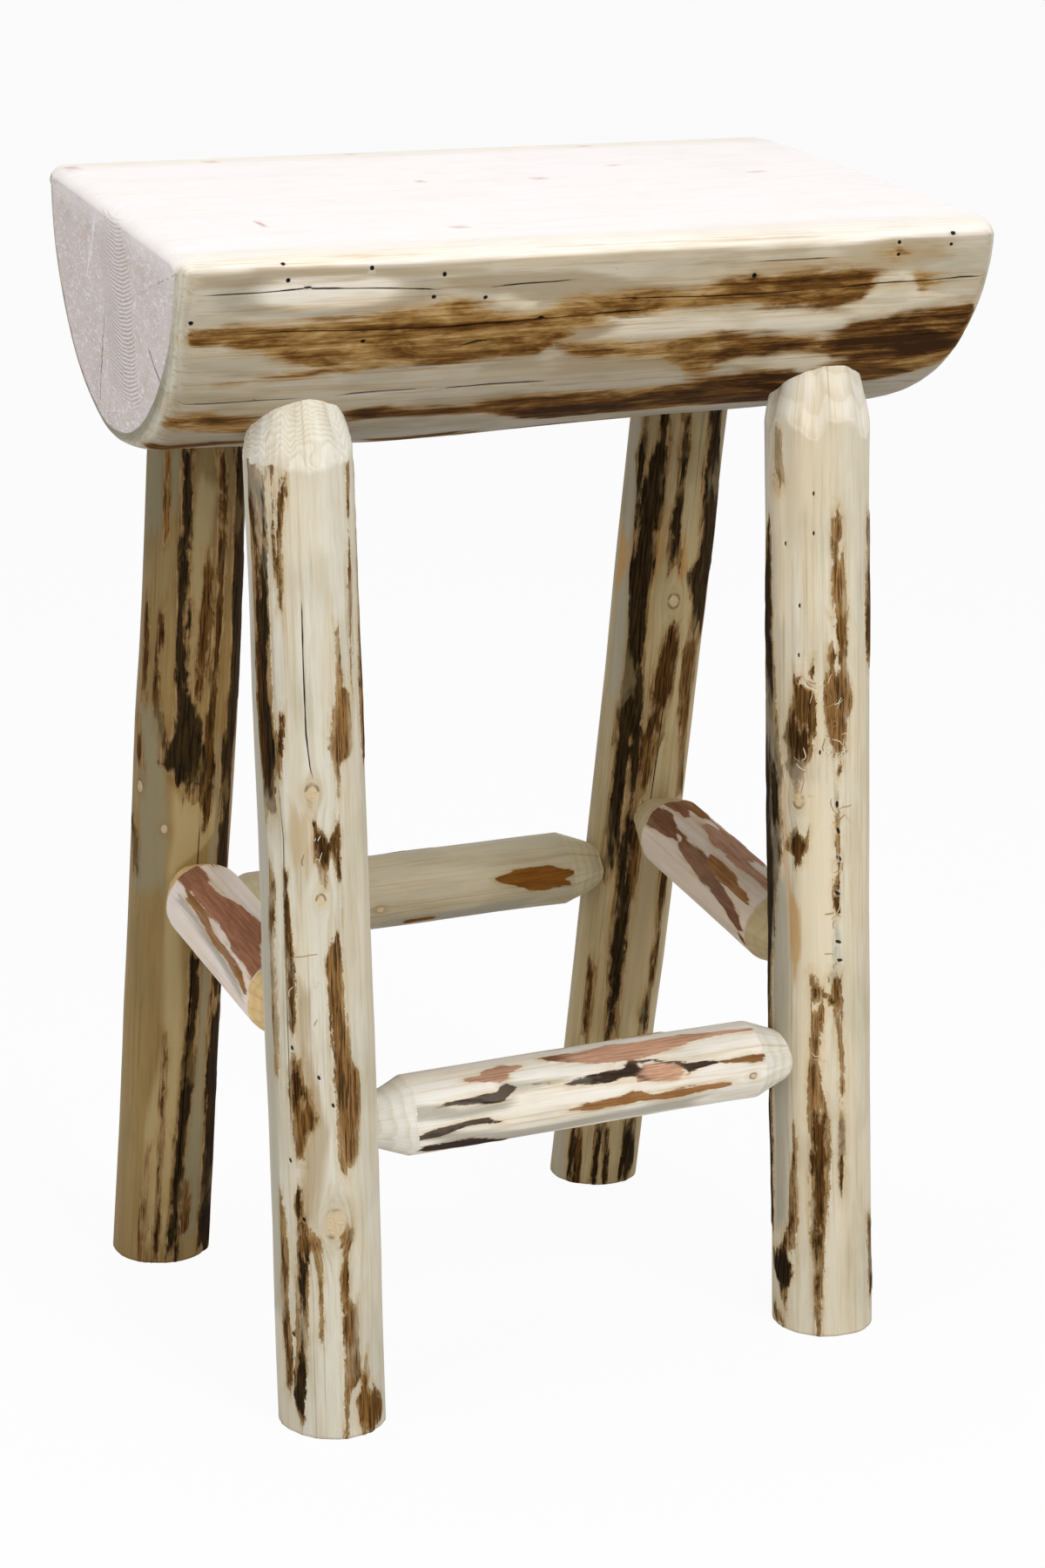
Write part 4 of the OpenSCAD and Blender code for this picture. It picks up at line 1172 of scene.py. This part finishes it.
    # the long edges are sanded, down to a wavy line
    sanded = 1 - step(from_edge + 2.5 * noise(place, (40, 9, 55), seed + 40), 6, sanded_r)
    bark = np.where(on_side, bark - 6 * sanded, NO_BARK) / 1.7
    veil, veil_tone = cover(stain_strips, x, arc, 1.0, dict(STAIN, t=(0.29, 0.22, 0.125)), False)
    # the log's own belly, lower in the middle and at the left
    belly = np.exp(-(((flat[..., 2] + 80) / 120) ** 2)) * step(arc, 90, 190) * (1 - step(arc, 330, 430))
    lift = 0.3 * step(bark, -0.6, 0.9) + 4.6 * belly + layers(
        flat, seed, (1.0, (70, 70, 130), 3), (0.55, (26, 26, 110), 4), (0.22, (9, 9, 70), 5), (0.10, (4, 4, 26), 6))
    top_lift = layers(flat, seed, (0.12, (60, 60, 160), 7), (0.05, (6, 6, 80), 8))
    lift = lift * step(z, -2, -16) * (1 - is_top) + top_lift * is_top - deep * step(gone, 0.4, 4) - inset
    yy, zz = y + np.interp(u, u0, d[1]) * lift, z - np.interp(u, u0, d[0]) * lift
    xx = MIDDLE_X + x[:, None] + yy * lean(x)[:, None]
    net = np.stack([xx, yy, zz + TOP], -1)
    ring = growth(yy, zz) + layers(flat, seed, (2.0, (60, 60, 300), 9), (0.9, (20, 20, 120), 10))
    base = np.array(lin(178, 168, 147)) * (1 + 0.05 * noise(flat, (40, 40, 160), seed + 11))[..., None]
    base = blend(base, lin(203, 193, 172), step(pale, -2.5, 2.5))
    # a pale swirl round a grown-over branch, and painted shade: the front is darker lower down, where it turns under,
    # away from the light
    (swirl, _, _), = seat_rows([(-193, 23, 23)])
    r = np.hypot((x[:, None] - swirl) / 50, (arc - 23 - 2.0 * noise(place, (9, 9, 60), seed + 41)) / 12)
    # a darker ring round the swirl, plus painted shade on the front from 60 to 150 mm down
    dull = 0.2 * np.exp(-(((r - 1.22) / 0.22) ** 2)) + 0.2 * step(arc, 60, 150) * on_side
    base = blend(base * (1 - dull)[..., None], lin(214, 206, 191), 1 - step(r, 0.7, 1.0))
    base = blend(base, lin(243, 236, 225), np.where(on_side, sanded, 1))
    near_edge = np.minimum(np.abs(arc), np.abs(back_arc - arc))
    base = blend(base, lin(252, 247, 246), is_top * step(near_edge, 10, 36))
    # painted shade: the worn rounding at the ends is darker and greener lower down, next to the sawn face
    rounding_shade = step(arc, 30, 110) * (1 - step(arc, 400, 480)) * step(inset, 3.5, 8)
    side_tone = blend(lin(204, 199, 182), lin(150, 147, 130), rounding_shade)
    top_tone = blend(lin(251, 246, 244), lin(250, 243, 241), step(inset, 1, 11))
    values = {
        "bark": bark, "veil": np.where(on_side & (inset < 3), veil, NO_BARK), "ring": ring, "crack": crack,
        "knot": np.full(u.shape, float(FAR)), "cut": step(inset, 0.5, 4), "end": 0 * u, "plain": is_top * 0.88,
        "grain": np.stack([yy, zz, xx], -1), "tone": tone, "veil_tone": veil_tone,
        "base": blend(base, blend(side_tone, top_tone, is_top), step(inset, 0.5, 5)),
    }
    # the sawn ends lean, and are a little rough
    rows_mm = x
    scale = np.array([0.99] + [1 - k / 30 for k in range(2, 30)])[:, None, None]
    for left in (True, False):
        way = -1 if left else 1
        face_x = MIDDLE_X + way * HALF_L
        mid = np.array([face_x, 0, TOP - 62.0])
        rings = mid + (net[0 if left else -1] - mid) * scale
        fy, fz = rings[..., 1], rings[..., 2] - TOP
        sawn = np.stack([fy, fz, 0 * fy], -1)
        rough = layers(sawn, seed, (0.4, (8, 8, 9), 30 + left), (0.12, (5, 5, 9), 32))
        rings[..., 0] = face_x + fy * SKEWS[0 if left else 1] + way * (rough - 0.5)
        more = {key: np.zeros((len(scale),) + v.shape[1:]) for key, v in values.items()}
        for key, v in (("bark", NO_BARK), ("veil", NO_BARK), ("crack", FAR), ("knot", FAR), ("end", 1), ("plain", 0.6)):
            more[key] += v
        more["ring"] = growth(fy, fz) + 1.2 * noise(sawn, (14, 14, 9), seed + 34)
        more["grain"] = np.stack([fy, fz, 0 * fy + way * HALF_L], -1)
        # painted light: the sawn face is near white along its top edge and pinker from 2 to 24 mm down
        low = step(-fz + 2.0 * noise(sawn, (30, 9, 9), seed + 36), 2, 24)
        more["base"] = blend(lin(250, 243, 241), lin(224, 211, 207), low)
        net, values, rows_mm = cap(net, values, rows_mm, left, rings, more)
    pits = [(*seat_rows([(q, w, w)])[0, :2], (k, k), 0.0, 2.4, None) for q, w, k in SEAT_HOLES]
    for a, b, c, d in TOP_MARKS:
        mid_x, mid_y, long = (a + c) / 2, (b + d) / 2, math.hypot(a - c, b - d) / 2
        pits.append((
            mid_x + 4 - mid_y * float(lean(mid_x)), (parc[-1] + HALF_W if mid_y > 0 else -HALF_W) - mid_y,
            (long * 1.2, 0.9), math.atan2(b - d, c - a), 0.1, lin(206, 168, 160)))
    mesh("seat_half_log", net, values, SEAT_WOOD, rows_mm, level, pits)


legs()
rails()
seat()

# The floor is white as the camera sees it, apart from the shadow that falls on it
me = bpy.data.meshes.new("floor")
me.from_pydata([(-25, -25, 0), (25, -25, 0), (25, 25, 0), (-25, 25, 0)], [], [(0, 1, 2, 3)])
floor = link("floor", me)
me.materials.append(bpy.data.materials.new("floor"))
tree = cleared(me.materials[0])
glow = node(tree, "Emission", {0: (1, 1, 1), 1: 1.0})
matt = node(tree, "BsdfDiffuse", {0: (0.9, 0.9, 0.9)})
share = node(tree, "LightPath", out="Is Camera Ray") * 0.935
node(tree, "OutputMaterial", {0: node(tree, "MixShader", {0: share, 1: matt, 2: glow})})

bpy.context.scene.world = bpy.data.worlds.new("studio")
tree = cleared(bpy.context.scene.world)
sky = node(tree, "Background", {0: (0.94, 0.95, 1.0), 1: 0.42})
white = node(tree, "Background", {0: (1, 1, 1), 1: 1.0})
seen = calc("MAXIMUM", *(node(tree, "LightPath", out="Is %s Ray" % k) for k in ("Camera", "Glossy")))
node(tree, "OutputWorld", {0: node(tree, "MixShader", {0: seen, 1: sky, 2: white})})


def aimed(name, data, x, y, z, spot):
    """A lamp or a camera at a spot in metres, which looks along -z."""
    ob = link(name, data)
    ob.matrix_world = Matrix(np.column_stack([x, y, z, spot]).tolist() + [[0, 0, 0, 1]])
    return ob


for name, spot, aim, size, watts in (
    ("key", (0.6, -2.6, 2.1), (0, 0, 0.45), 1.6, 52),
    ("top", (-0.2, 0.3, 2.7), (0, 0, 0.4), 1.5, 17),
    ("fill", (-2.6, -1.2, 1.3), (0, 0, 0.4), 1.8, 20),
):
    lamp = bpy.data.lights.new(name, "AREA")
    lamp.shape, lamp.size, lamp.energy = "DISK", size, watts
    z = unit(np.array(spot) - aim)
    x = unit(np.cross((0, 0, 1), z))
    aimed(name, lamp, x, np.cross(z, x), z, spot)

camera = bpy.data.cameras.new("camera")
camera.lens, camera.sensor_width, camera.clip_end = LENS, 36, 60
ahead = np.array([math.sin(YAW) * math.cos(PITCH), math.cos(YAW) * math.cos(PITCH), -math.sin(PITCH)])
right = np.array([math.cos(YAW), -math.sin(YAW), 0])
up = np.cross(right, ahead)
x, y = right * math.cos(ROLL) + up * math.sin(ROLL), up * math.cos(ROLL) - right * math.sin(ROLL)
bpy.context.scene.camera = aimed("camera", camera, x, y, -ahead, np.array(EYE) / 1000)
bpy.context.scene.view_settings.view_transform = "Standard"
